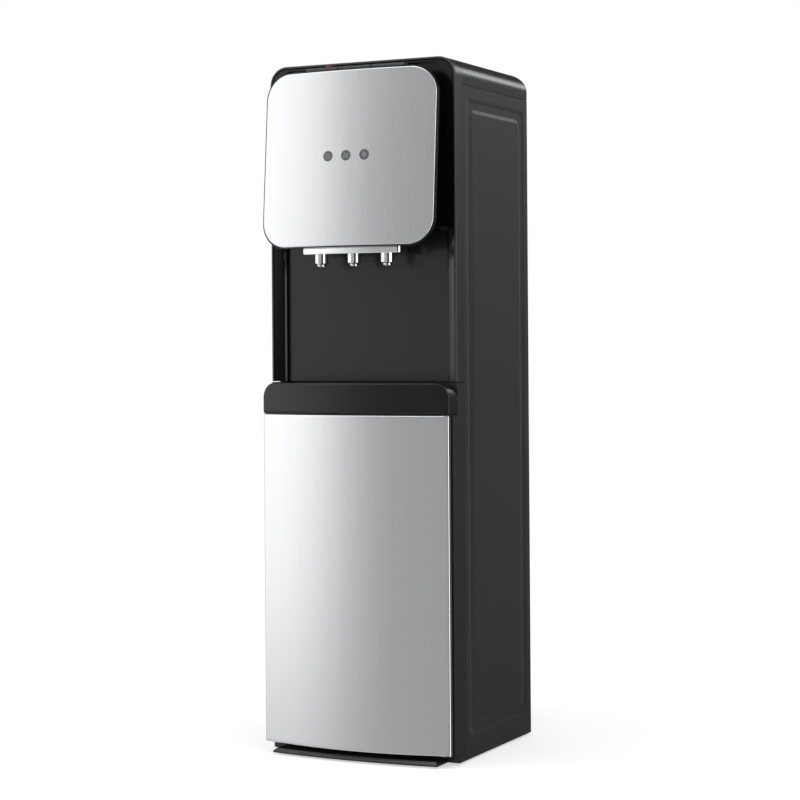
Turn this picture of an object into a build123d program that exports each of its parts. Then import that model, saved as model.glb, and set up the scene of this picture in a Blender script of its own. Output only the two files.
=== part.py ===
from build123d import *
import math
import os

os.makedirs("parts", exist_ok=True)

# Bottom-loading water dispenser, in millimetres. +Z is up, the front faces -Y,
# and the origin is on the floor under the middle of the whole object.

# Outer sizes
WIDTH = 310.0               # cabinet over its side panels
CABINET_DEPTH = 271.0       # front frame plane to the rear edge of the side panels
BODY_HEIGHT = 1035.0        # underside of the cabinet to the top of the hood
FOOT_HEIGHT = 3.0           # rubber feet below the underside
HEAD_REACH = 60.0           # foremost line of the head panel, in front of the frame plane
CONDENSER_REACH = 22.0      # rearmost wire of the condenser, behind the rear panel

# Sheet, seams and clearances
SHEET = 1.0                 # painted steel sheet
SEAM = 0.6                  # visible line between two casings
SPLIT_SEAM = 1.3            # line between the upper and the lower frame
FIT = 0.3                   # clearance between pieces that sit in one another
RUN = 0.05                  # radial clearance of a turning pin

# Front frames and hood
FRAME_DEPTH = 24.0          # front frames, before the side panels begin
FRAME_WALL = 3.0
CROWN_RADIUS = 28.0         # upper corners seen from the front
NAPE_RADIUS = 22.0          # rear upper edge seen from the side
HOOD_HEIGHT = 40.0          # hood's lower edge below the top
HOOD_WALL = 2.5
FLANGE = 11.0               # turned-in edges of the steel panels
FRAME_ROUND = 1.5           # rounded front edges of the frames

# Pressed rectangles of the side panels
EMBOSS = 1.2                # depth of the sunk band
BAND_SLOPE = 5.5            # run of its walls
BAND_WIDTH = 21.2
BAND_FRONT = 38.7           # outer rectangle, from the frame plane
BAND_REAR = 14.2            # outer rectangle, from the rear edge
BAND_LOW = 32.2             # outer rectangle, above the underside
BAND_DROP = 18.7            # outer rectangle, below the hood
BAND_RADIUS = 12.0

# Door
DOOR_RISE = 14.6            # door's lower edge above the underside
DOOR_HEIGHT = 494.0
DOOR_SIDE = 1.2             # door's edges from the sides of the cabinet
DOOR_EDGE = 28.3            # door's corners in front of the frame plane
DOOR_BOW = 21.7             # middle of the door in front of its corners
DOOR_RETURN = 6.5           # turned-back edge of the steel door panel
SKIN = 1.2                  # steel door panel
DOOR_ROUND = 1.5            # rounded front edge of the door panel
LINER_WALL = 3.0
LINER_BORDER = 21.0         # liner's thick border round its hollow
LINER_RIB = 2.5
LINER_RIB_DEPTH = 12.0      # rib behind the door, round the liner's hollow

# Door hinge and catch
PIN_INSET = 6.5             # pin axis from the door's right edge
PIN_SETBACK = 25.0          # pin axis in front of the frame plane
PIN_RADIUS = 2.0
PIN_GRIP = 12.0             # length of pin inside the door
BUSH_WALL = 1.2
BOSS_RADIUS = 5.4
HINGE_PLATE = 1.4
HINGE_GAP = 0.3             # between a hinge plate and the door
HINGE_WIDTH = 14.0
CATCH_HEIGHT = 40.0
CATCH_WIDTH = 7.0
STRIKE_THICK = 1.0
STRIKE_GAP = 1.2            # between the magnet and its strike

# Lower frame
RIM_REACH = 17.0            # door cheeks in front of the frame plane
CHEEK_WIDTH = 16.0          # frame beside the bottle opening
SILL = 14.0                 # lower edge of the opening above the underside
GRIP_DROP = 93.0            # middle of the finger scoop below the door's upper edge
GRIP_LENGTH = 80.0          # finger scoop in the left cheek
GRIP_DEPTH = 13.0           # scoop measured from the left side
GRIP_REAR = 5.0             # scoop behind the frame plane

# Plinth lip below the door
LIP_INSET = 19.0            # lip's ends from the sides of the cabinet
LIP_EDGE = 38.0
LIP_BOW = 9.6
LIP_HEIGHT = 6.5
LIP_CHAMFER = 4.0

# Drip tray and grille
TRAY_GAP = 2.0              # door's upper edge to the tray
TRAY_HEIGHT = 45.6
TRAY_CORNER = 23.0
BASIN_INSET = 27.0          # basin's sides from the sides of the cabinet
TRAY_ROUND = 3.0            # rounded front edges of the tray
BASIN_WALL = 3.0
BASIN_SHELF = 4.0           # tray's basin floor above the tray's lower edge
BAR_WALL = 5.0              # front wall of the tray
GRILLE_THICK = 3.0
GRILLE_DROP = 1.0           # grille's face below the tray's upper edge
GRILLE_SLOT = 4.0
GRILLE_PITCH = 11.0
GRILLE_MARGIN = 9.0
GRILLE_LEG = 2.5            # radius of the grille's legs

# Alcove and fascia
FASCIA_SET = 0.8            # fascia's face behind the arch's front edge
FASCIA_DEPTH = 21.0
FASCIA_PLATE = 3.0
PILLAR_WIDTH = 16.7         # fascia beside the alcove
ALCOVE_DROP = 255.0         # alcove's ceiling below the top
ALCOVE_DEPTH = 18.0
ALCOVE_SHEET = 2.5
PILLAR_ROUND = 5.0
FASCIA_EDGE = 1.2           # chamfer of the fascia's outer edge
RECESS_EDGE = 12.7          # fascia beside the sunk field behind the head
RECESS_DEPTH = 7.0
RECESS_TOP = 4.0            # rim above the sunk field

# Head panel
PANEL_INSET = 14.3          # panel's sides from the sides of the cabinet
PANEL_HEIGHT = 261.5
PANEL_RADIUS = 40.0
PANEL_TILT = 4.6            # degrees, lower edge forward
PANEL_DROP = 277.4          # panel's lower edge below the top
PANEL_BOW = 8.5
PANEL_PLATE = 2.0
CARRIER_THICK = 5.0
PANEL_ROUND = 1.5

# Head core, spouts and buttons
CORE_HALF = 86.0
CORE_DROP = 21.0            # core's upper face below the top
CORE_WALL = 3.0
CORE_ROUND = 6.0
BAR_HALF = 81.2
BAR_FRONT = 44.3            # spout bar's front before the frame plane
BAR_REAR = 8.0
BAR_HEIGHT = 10.0
BAR_DROP = 278.0            # bar's upper face below the top
BAR_ROUND = 6.0
SPOUT_PITCH = 55.0
SPOUT_LINE = 25.2           # spouts in front of the frame plane
SPOUT_RADIUS = 8.75
SPOUT_TIP = 5.0
SPOUT_BORE = 3.6
SPOUT_DROP = 17.5           # spout below the bar
SPOUT_TAPER = 4.5
SPOUT_NECK = 6.0
BUTTON_WIDTH = 53.0
BUTTON_FRONT = 20.5         # button's front before the frame plane
BUTTON_REAR = 6.0
BUTTON_DROP = 6.5           # buttons below the top
BUTTON_TRAVEL = 4.0
BUTTON_FLANGE = 1.5
BUTTON_SKIRT = 3.0
STEM_RADIUS = 4.0
STEM_LENGTH = 14.0
BUTTON_ROUND = 2.0
SWITCH_SIZE = 12.0
LOCK_X = 9.0                # child lock on the hot button, from the button's middle
LOCK_WIDTH = 8.0
LOCK_DEPTH = 7.0
LOCK_RISE = 2.6
LOCK_ROUND = 1.0
LOCK_STEM = 3.0             # width and depth of the stem through the button
LOCK_FOOT = 1.5
LOCK_TRAVEL = 4.0
VALVE_SIDE = 18.0           # solenoid valve over each spout
VALVE_COIL = 14.0
VALVE_COIL_RADIUS = 7.0

# Indicator lenses
LENS_RADIUS = 7.75
LENS_PITCH = 30.0
LENS_DROP = 144.2           # lenses below the top
LENS_FIT = 0.15
LAMP_DEPTH = 4.0            # lamps behind the lenses
LAMP_BOARD = 1.6
LED_RADIUS = 2.5

# Inside the cabinet
FEET_SIDE = 40.0            # feet from the sides of the base pan
FEET_INSET = 28.0           # feet from the front and rear of the base pan
FEET_RADIUS = 14.0
FEET_CHAMFER = 0.8
PAN_HEIGHT = 12.0
PAN_WALL = 3.5
RAIL_HALF = 60.0
RAIL_HEIGHT = 2.0
RAIL_WIDTH = 8.0
SHELF_SHEET = 1.5
SHELF_GAP = 3.4             # middle shelf over the door's upper edge
SHELF_FLANGE = 16.0
DECK_GAP = 191.5            # tank tray over the middle shelf

COLD_REAR = 8.0             # cold tank's jacket from the rear
COLD_RADIUS = 62.0
COLD_HEIGHT = 185.0
COLD_FOAM = 20.0
HOT_REAR = 29.0             # hot tank's jacket from the rear
HOT_RADIUS = 44.0
HOT_HEIGHT = 170.0
HOT_FOAM = 9.0
TANK_WALL = 1.5
HEATER_HEIGHT = 30.0
HEATER_THICK = 3.0
FOAM_FLOOR = 14.0
PORT_RADIUS = 5.0
PORT_REACH = 8.0            # tank port beyond its jacket
COLD_PORT_X = -7.0          # ports on the cold tank, from its axis
AMBIENT_PORT_X = -32.0
FEED_PORT_RISE = 37.0       # ports above the tank tray
COLD_PORT_RISE = 52.0
AMBIENT_PORT_RISE = 152.0
HOT_PORT_RISE = 72.0
TUBE_RADIUS = 5.0
TUBE_BEND = 18.0
TUBE_RUN = 14.5             # straight run of the tubes in front of the cold tank

COMPRESSOR_X = -30.0
COMPRESSOR_REAR = 90.0      # compressor's axis from the rear
COMPRESSOR_RADIUS = 64.0
COMPRESSOR_HEIGHT = 150.0
COMPRESSOR_SHELL = 3.5
GROMMET_RADIUS = 9.0
GROMMET_HEIGHT = 12.0
GROMMET_REACH = 62.0
FOOT_PLATE = 3.0

PROBE_SIDE = 40.0           # probe's axis from the right side
PROBE_REAR = 24.0           # probe's axis from the rear
PROBE_RADIUS = 9.0
PROBE_BOTTOM = 40.0         # above the underside
PROBE_LENGTH = 372.0
COLLAR_RADIUS = 22.0
COLLAR_HEIGHT = 26.0
HOLDER_HEIGHT = 12.0
HOSE_RADIUS = 4.5
PUMP_LENGTH = 40.0
PUMP_WIDTH = 44.0
PUMP_HEIGHT = 38.0
FEED_RUN = 22.0             # feed tube from the cold tank to the pump's axis
PUMP_PORT = 27.0            # height of the pump's inlet over the shelf

BOARD_SIDE = 7.0            # board from the side of the hollow fascia
BOARD_HEIGHT = 120.0
BOARD_THICK = 1.6
BOARD_SPACER = 7.0
BOARD_DROP = 65.0           # board's upper edge below the top
BOARD_MARGIN = 10.0
TRANSFORMER_WIDTH = 26.0
TRANSFORMER_HEIGHT = 28.0
TRANSFORMER_DEPTH = 20.0
RELAY_WIDTH = 12.0
RELAY_HEIGHT = 40.0
RELAY_DEPTH = 10.0

# Condenser on the rear
COIL_RADIUS = 2.4
COIL_SIDE = 34.0            # coil's turns from the sides
COIL_PITCH = 48.0
COIL_PASSES = 9
COIL_LOW = 96.0             # lowest pass above the underside
WIRE_SIDE = 1.6
WIRE_PITCH = 11.0
CLIP_SIDE = 7.0

# Rear fittings
VENT_ROWS = 9
VENT_COLUMNS = 4
VENT_LENGTH = 48.0
VENT_HEIGHT = 4.0
VENT_PITCH = 14.0
VENT_RISE = 566.0           # lowest row above the underside
SWITCH_EDGE = 55.0          # switches from the left side
SWITCH_DROP = 90.0          # switches below the top
ROCKER_WIDTH = 12.0
ROCKER_LENGTH = 22.0
ROCKER_PITCH = 20.0
ROCKER_TILT = 7.0           # degrees, each way from level
ROCKER_SINK = 1.0           # rocker's axis inside the rear face
ROCKER_FACE = 3.6           # waist of the rocker from its axis
ROCKER_HEEL = 3.0
SWITCH_SIDE = 1.0           # switch body beside and beyond its rockers
SWITCH_END = 4.0
SWITCH_BODY_DEPTH = 20.0
POCKET_DEPTH = 9.0
TRUNNION_RADIUS = 1.5
BEZEL_THICK = 2.0
DRAIN_RISE = 16.0           # drain above the hot tank's floor
DRAIN_RADIUS = 8.0
DRAIN_REACH = 14.0
DRAIN_LAP = 5.0             # tank's drain port inside the drain spout
CAP_GRIPS = 8
GLAND_SIDE = 24.0           # gland from the left side
GLAND_RISE = 52.0
GLAND_RADIUS = 9.0
GLAND_BORE = 3.5
GLAND_NECK = 6.0
GLAND_DEPTH = 8.0           # gland's neck inside the rear face

# Planes and levels worked out from the sizes above
HALF = WIDTH / 2
DEPTH = HEAD_REACH + CABINET_DEPTH + CONDENSER_REACH
FRONT = HEAD_REACH - DEPTH / 2
REAR = FRONT + CABINET_DEPTH
BOTTOM = FOOT_HEIGHT
TOP = BOTTOM + BODY_HEIGHT
FRAME_BACK = FRONT + FRAME_DEPTH
SIDE_FRONT = FRAME_BACK + SEAM
HOOD_LOW = TOP - HOOD_HEIGHT
SIDE_TOP = HOOD_LOW - SEAM
INSIDE = HALF - EMBOSS - SHEET - FIT
INSIDE_FRONT = SIDE_FRONT + SHEET + FIT
INSIDE_REAR = REAR - 2 * SHEET - 2 * FIT
DOOR_BOTTOM = BOTTOM + DOOR_RISE
DOOR_TOP = DOOR_BOTTOM + DOOR_HEIGHT
DOOR_BACK = FRONT - DOOR_EDGE + DOOR_RETURN
TRAY_BOTTOM = DOOR_TOP + TRAY_GAP
TRAY_TOP = TRAY_BOTTOM + TRAY_HEIGHT
SPLIT = TRAY_TOP + SPLIT_SEAM
OPENING_HALF = HALF - CHEEK_WIDTH
LIP_HALF = HALF - LIP_INSET
BASIN_HALF = HALF - BASIN_INSET
ALCOVE_HALF = HALF - FRAME_WALL - FIT - PILLAR_WIDTH
RECESS_HALF = HALF - FRAME_WALL - FIT - RECESS_EDGE
PANEL_WIDTH = WIDTH - 2 * PANEL_INSET
CEILING = TOP - ALCOVE_DROP
DOOR_HALF = HALF - DOOR_SIDE
PIN_X = DOOR_HALF - PIN_INSET
PIN_Y = FRONT - PIN_SETBACK
BUSH_RADIUS = PIN_RADIUS + RUN + BUSH_WALL
PLATE_TOP = DOOR_TOP + HINGE_GAP + HINGE_PLATE
PLATE_BOTTOM = DOOR_BOTTOM - HINGE_GAP - HINGE_PLATE
ARC_RADIUS = (HALF ** 2 + DOOR_BOW ** 2) / (2 * DOOR_BOW)
SHELF_LOW = DOOR_TOP + SHELF_GAP
SHELF_TOP = SHELF_LOW + SHELF_SHEET
DECK_LOW = SHELF_TOP + DECK_GAP
DECK_TOP = DECK_LOW + SHELF_SHEET
CORE_BOTTOM = TOP - BAR_DROP
CORE_HIGH = TOP - CORE_DROP
BUTTON_HIGH = TOP - BUTTON_DROP
FIELD = FRONT + FASCIA_SET + RECESS_DEPTH
SPOUT_Y = FRONT - SPOUT_LINE
SPOUTS_X = [-SPOUT_PITCH, 0, SPOUT_PITCH]
COIL_Y = REAR + CONDENSER_REACH - WIRE_SIDE - COIL_RADIUS
COIL_HALF = INSIDE - COIL_SIDE
FEET_X = INSIDE - FEET_SIDE
FEET_Y = (INSIDE_FRONT + FEET_INSET, INSIDE_REAR - FEET_INSET)
GRIP_Z = DOOR_TOP - GRIP_DROP
CATCH_Z = (DOOR_BOTTOM + DOOR_TOP) / 2
CATCH_X = (OPENING_HALF + HALF) / 2
BUTTON_Y = FRONT - (BUTTON_FRONT + BUTTON_REAR) / 2
STEM_BOTTOM = CORE_HIGH - CORE_WALL - BUTTON_SKIRT - STEM_LENGTH
SWITCH_TOP = STEM_BOTTOM - BUTTON_TRAVEL - FIT
VALVE_REAR = SPOUT_Y + VALVE_SIDE / 2 + PORT_REACH
VALVE_PORT = CEILING + FASCIA_PLATE + 2 * PORT_RADIUS
TANK_LOW = DECK_TOP + FOAM_FLOOR
COLD_OUTER = COLD_RADIUS + COLD_FOAM
HOT_OUTER = HOT_RADIUS + HOT_FOAM
TANK_GAP = (2 * INSIDE - 2 * COLD_OUTER - 2 * HOT_OUTER) / 3
COLD_X = INSIDE - TANK_GAP - COLD_OUTER
COLD_Y = INSIDE_REAR - COLD_REAR - COLD_OUTER
HOT_X = HOT_OUTER + TANK_GAP - INSIDE
HOT_Y = INSIDE_REAR - HOT_REAR - HOT_OUTER
COMPRESSOR_Y = INSIDE_REAR - COMPRESSOR_REAR
PROBE_X = INSIDE - PROBE_SIDE
PROBE_Y = INSIDE_REAR - PROBE_REAR
PUMP_X = PROBE_X + PORT_RADIUS - PUMP_WIDTH / 2
FEED_PORT_X = PUMP_X - COLD_X
COLD_PORTS = [
    (FEED_PORT_X, FEED_PORT_RISE),
    (COLD_PORT_X, COLD_PORT_RISE),
    (AMBIENT_PORT_X, AMBIENT_PORT_RISE),
]
DECK_FRONT = COLD_Y - COLD_OUTER - SHELF_FLANGE / 4
HOT_PORT_END = HOT_Y - HOT_OUTER - PORT_REACH
TUBE_TURN_Y = COLD_Y - COLD_OUTER - PORT_REACH - TUBE_RUN
FEED_Y = COLD_Y - COLD_OUTER - FEED_RUN
PUMP_REAR = FEED_Y + PUMP_LENGTH / 2
DRAIN_X = HOT_X
DRAIN_Z = TANK_LOW + DRAIN_RISE
DRAIN_BORE = DRAIN_RADIUS - BEZEL_THICK
GLAND_X = GLAND_SIDE - INSIDE
BOARD_WIDTH = RECESS_HALF - BOARD_SIDE - CORE_HALF
COLLAR_LOW = BOTTOM + PROBE_BOTTOM + PROBE_LENGTH
SWITCH_X = SWITCH_EDGE - HALF
SWITCH_Z = TOP - SWITCH_DROP
SWITCH_BODY_HALF = ROCKER_PITCH + SWITCH_SIDE
SWITCH_BODY_RISE = ROCKER_LENGTH / 2 + SWITCH_END
ROCKERS_X = [SWITCH_X - ROCKER_PITCH / 2, SWITCH_X + ROCKER_PITCH / 2]
ROCKER_AXIS_Y = REAR - ROCKER_SINK

tilt = math.radians(PANEL_TILT)
panel_foot_y = FRONT - HEAD_REACH + PANEL_BOW * math.cos(tilt)
panel_centre = (
    0,
    panel_foot_y + PANEL_HEIGHT / 2 * math.sin(tilt),
    TOP - PANEL_DROP + PANEL_HEIGHT / 2 * math.cos(tilt),
)
panel_plane = Plane(panel_centre, x_dir=(1, 0, 0), z_dir=(0, -math.cos(tilt), math.sin(tilt)))
CARRIER_BACK = -PANEL_PLATE - CARRIER_THICK
LENSES_X = [-LENS_PITCH, 0, LENS_PITCH]
LENS_Y = (TOP - LENS_DROP - panel_centre[2]) / math.cos(tilt)
LAMP_WIDTH = 2 * LENS_PITCH + 4 * LENS_RADIUS
LAMP_HEIGHT = 3 * LENS_RADIUS


# Shared shapes

def block(x0, x1, y0, y1, z0, z1):
    """A box between two corners."""
    return Pos((x0 + x1) / 2, (y0 + y1) / 2, (z0 + z1) / 2) * Box(x1 - x0, y1 - y0, z1 - z0)


def area(left, right, low, high):
    """A rectangle between two corners."""
    return Pos((left + right) / 2, (low + high) / 2) * Rectangle(right - left, high - low)


def round_area(left, right, low, high, radius):
    """A rectangle between two corners, with rounded corners."""
    middle = Pos((left + right) / 2, (low + high) / 2)
    return middle * RectangleRounded(right - left, high - low, radius)


def arch(half, low, high, radius):
    """A front outline with two rounded upper corners."""
    sheet = area(-half, half, low, high)
    return fillet(sheet.vertices().group_by(Axis.Y)[-1], radius)


def front_prism(sketch, front, back):
    """An outline drawn in X and Z, running from front to back."""
    plane = Plane((0, back, 0), x_dir=(1, 0, 0), z_dir=(0, -1, 0))
    return extrude(plane * sketch, amount=back - front)


def side_prism(sketch, left, right):
    """An outline drawn in Y and Z, running from left to right."""
    plane = Plane((left, 0, 0), x_dir=(0, 1, 0), z_dir=(1, 0, 0))
    return extrude(plane * sketch, amount=right - left)


def plan_prism(sketch, low, high):
    """An outline drawn in X and Y, running upwards."""
    return extrude(Pos(0, 0, low) * sketch, amount=high - low)


def post(x, y, low, high, radius):
    """An upright round bar."""
    return Pos(x, y, (low + high) / 2) * Cylinder(radius, high - low)


def bar_y(x, z, front, back, radius):
    """A round bar that runs from front to back."""
    return Pos(x, (front + back) / 2, z) * Rot(90, 0, 0) * Cylinder(radius, back - front)


def bow_y(x):
    """The door's bowed face above a point of the width."""
    return FRONT - DOOR_EDGE - (math.sqrt(ARC_RADIUS ** 2 - x ** 2) - (ARC_RADIUS - DOOR_BOW))


def bowed_area(half, back, edge, crown):
    """A plan outline with a straight back and a bowed front."""
    sides = [
        Line((-half, back), (half, back)),
        Line((half, back), (half, edge)),
        ThreePointArc((half, edge), (0, crown), (-half, edge)),
        Line((-half, edge), (-half, back)),
    ]
    return make_face(sides)


def door_area(half, back, setback):
    """A plan outline whose front lies a set distance behind the door's face."""
    return bowed_area(half, back, bow_y(half) + setback, bow_y(0) + setback)


def tube(points, radius, bend):
    """A round tube along straight runs joined by arcs."""
    path = FilletPolyline(*points, radius=bend)
    start = Plane(origin=path @ 0, z_dir=path % 0)
    return sweep(start * Circle(radius), path=path)


def on_panel(shape):
    """Place a shape drawn upright into the tilted frame of the head panel."""
    return panel_plane.location * shape


def panel_slab(front, back):
    """The head panel's outline between a bowed front and a flat back, drawn upright."""
    half = PANEL_WIDTH / 2
    sides = [
        Line((-half, 0, back), (half, 0, back)),
        Line((half, 0, back), (half, 0, front)),
        ThreePointArc((half, 0, front), (0, 0, front + PANEL_BOW), (-half, 0, front)),
        Line((-half, 0, front), (-half, 0, back)),
    ]
    bowed = extrude(make_face(sides), amount=PANEL_HEIGHT, dir=(0, 1, 0), both=True)
    outline = RectangleRounded(PANEL_WIDTH, PANEL_HEIGHT, PANEL_RADIUS)
    return bowed & extrude(outline, amount=PANEL_WIDTH, both=True)


def save(name, shape):
    """Write one named piece."""
    export_step(shape, f"parts/{name}.step")


def group(shapes):
    """Separate solids of one node."""
    return Compound(children=list(shapes))


# Casing

def base_pan():
    low = BOTTOM
    high = BOTTOM + PAN_HEIGHT
    pan = block(-INSIDE, INSIDE, INSIDE_FRONT, INSIDE_REAR, low, high)
    middle = (INSIDE_FRONT + INSIDE_REAR) / 2
    for x0, x1 in ((-INSIDE + PAN_WALL, -PAN_WALL / 2), (PAN_WALL / 2, INSIDE - PAN_WALL)):
        front_bay = (INSIDE_FRONT + PAN_WALL, middle - PAN_WALL)
        rear_bay = (middle + PAN_WALL, INSIDE_REAR - PAN_WALL)
        for y0, y1 in (front_bay, rear_bay):
            pan -= block(x0, x1, y0, y1, low, high - PAN_WALL)
    for x in (-RAIL_HALF, RAIL_HALF):
        rail_area = area(x - RAIL_WIDTH / 2, x + RAIL_WIDTH / 2, INSIDE_FRONT, INSIDE_REAR)
        rail = plan_prism(rail_area, high, high + RAIL_HEIGHT)
        pan += chamfer(rail.edges().group_by(Axis.Z)[-1], RAIL_HEIGHT / 2)
    for x in (-1, 1):
        for y in FEET_Y:
            pan += post(x * FEET_X, y, low, high, FEET_RADIUS)
    return pan


def rubber_feet():
    feet = []
    for x in (-FEET_X, FEET_X):
        for y in FEET_Y:
            foot = post(x, y, 0, BOTTOM, FEET_RADIUS)
            feet.append(chamfer(foot.edges().group_by(Axis.Z)[0], FEET_CHAMFER))
    return group(feet)


def plinth_lip():
    lip = bowed_area(LIP_HALF, FRONT, FRONT - LIP_EDGE, FRONT - LIP_EDGE - LIP_BOW)
    lip = plan_prism(lip, BOTTOM, BOTTOM + LIP_HEIGHT)
    upper = lip.edges().group_by(Axis.Z)[-1]
    return chamfer(upper.sort_by(Axis.Y)[:-1], LIP_CHAMFER)


def band_edge(inset, x):
    """One rounded outline of the pressed band, at a level of the sheet."""
    y0 = FRONT + BAND_FRONT + inset
    y1 = REAR - BAND_REAR - inset
    z0 = BOTTOM + BAND_LOW + inset
    z1 = HOOD_LOW - BAND_DROP - inset
    plane = Plane((x, 0, 0), x_dir=(0, 1, 0), z_dir=(1, 0, 0))
    return plane * round_area(y0, y1, z0, z1, BAND_RADIUS)


def right_side_panel():
    """A sheet with a sunk band, whose walls slope as a press leaves them."""
    floor = HALF - EMBOSS
    outer = loft([band_edge(0, HALF), band_edge(BAND_SLOPE, floor)], ruled=True)
    island = loft([band_edge(BAND_WIDTH, HALF), band_edge(BAND_WIDTH - BAND_SLOPE, floor)], ruled=True)
    thick = block(floor - 2 * SHEET, HALF, SIDE_FRONT, REAR, BOTTOM, SIDE_TOP) - (outer - island)
    panel = thick - Pos(-SHEET, 0, 0) * thick
    inner_edge = HALF - SHEET - FLANGE
    panel += block(inner_edge, HALF, SIDE_FRONT, SIDE_FRONT + SHEET, BOTTOM, SIDE_TOP)
    return panel + block(inner_edge, HALF, REAR - 2 * SHEET - FIT, REAR - SHEET - FIT, BOTTOM, SIDE_TOP)


def rear_panel():
    low = BOTTOM
    half = HALF - SHEET - FIT
    panel = block(-half, half, REAR - SHEET, REAR, low, SIDE_TOP)
    span = VENT_LENGTH + VENT_PITCH
    for row in range(VENT_ROWS):
        z = BOTTOM + VENT_RISE + row * VENT_PITCH
        for column in range(VENT_COLUMNS):
            x = (column - (VENT_COLUMNS - 1) / 2) * span
            vent = area(x - VENT_LENGTH / 2, x + VENT_LENGTH / 2, z, z + VENT_HEIGHT)
            panel -= front_prism(vent, REAR - 2 * SHEET, REAR + SHEET)
    w = SWITCH_BODY_HALF + FIT
    h = SWITCH_BODY_RISE + FIT
    panel -= block(SWITCH_X - w, SWITCH_X + w, REAR - 2 * SHEET, REAR + SHEET, SWITCH_Z - h, SWITCH_Z + h)
    panel -= bar_y(DRAIN_X, DRAIN_Z, REAR - 2 * SHEET, REAR + SHEET, DRAIN_RADIUS + FIT)
    panel -= bar_y(GLAND_X, BOTTOM + GLAND_RISE, REAR - 2 * SHEET, REAR + SHEET, GLAND_NECK + FIT)
    return panel


def hood_solid(half, top, crown, nape, rear, low):
    front_view = front_prism(arch(half, low, top, crown), SIDE_FRONT, rear)
    profile = area(SIDE_FRONT, rear, low, top)
    profile = fillet(profile.vertices().group_by(Axis.Y)[-1].sort_by(Axis.X)[-1:], nape)
    return front_view & side_prism(profile, -half, half)


def top_cover():
    low = HOOD_LOW
    outer = hood_solid(HALF, TOP, CROWN_RADIUS, NAPE_RADIUS, REAR, low)
    w = HOOD_WALL
    inner = hood_solid(HALF - w, TOP - w, CROWN_RADIUS - w, NAPE_RADIUS - w, REAR - w, low - w)
    return outer - inner


def front_arch():
    low = SPLIT
    body = front_prism(arch(HALF, low, TOP, CROWN_RADIUS), FRONT, FRAME_BACK)
    rim = body.faces().sort_by(Axis.Y)[0].edges().sort_by(Axis.Z)[1:]
    body = fillet(rim, FRAME_ROUND)
    w = FRAME_WALL
    inner = arch(HALF - w, low - w, TOP - w, CROWN_RADIUS - w)
    return body - front_prism(inner, FRONT - SEAM, FRAME_BACK + SEAM)


def fascia():
    front = FRONT + FASCIA_SET
    back = front + FASCIA_DEPTH
    inset = FRAME_WALL + FIT
    body = front_prism(arch(HALF - inset, SPLIT, TOP - inset, CROWN_RADIUS - inset), front, back)
    rim = body.faces().sort_by(Axis.Y)[0].edges().sort_by(Axis.Z)[1:]
    body = chamfer(rim, FASCIA_EDGE)
    body -= front_prism(area(-ALCOVE_HALF, ALCOVE_HALF, SPLIT - SEAM, CEILING), front - SEAM, back + SEAM)
    edges = body.edges().filter_by(Axis.Z).filter_by(lambda e: abs(abs(e.center().X) - ALCOVE_HALF) < FIT)
    body = fillet(edges.group_by(Axis.Y)[0], PILLAR_ROUND)
    recess_top = TOP - inset - RECESS_TOP
    corner = CROWN_RADIUS - inset - RECESS_TOP
    recess_low = CEILING + PILLAR_ROUND
    body -= front_prism(arch(RECESS_HALF, recess_low, recess_top, corner), front - SEAM, FIELD)
    notch = CORE_HALF + FIT
    body -= block(-notch, notch, front - SEAM, FIELD, CEILING - SEAM, recess_low + SEAM)
    hollow_low = CEILING + FASCIA_PLATE
    hollow = arch(RECESS_HALF, hollow_low, recess_top, corner)
    body -= front_prism(hollow, FIELD + FASCIA_PLATE, back + SEAM)
    window = CORE_HALF - 2 * CORE_WALL
    high = CORE_HIGH - 2 * CORE_WALL
    body -= front_prism(area(-window, window, hollow_low, high), FIELD - SEAM, back + SEAM)
    return body


def alcove_panel():
    half = ALCOVE_HALF - FIT
    y = FRONT + ALCOVE_DEPTH
    return front_prism(area(-half, half, SPLIT, CEILING - FIT), y, y + ALCOVE_SHEET)


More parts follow.
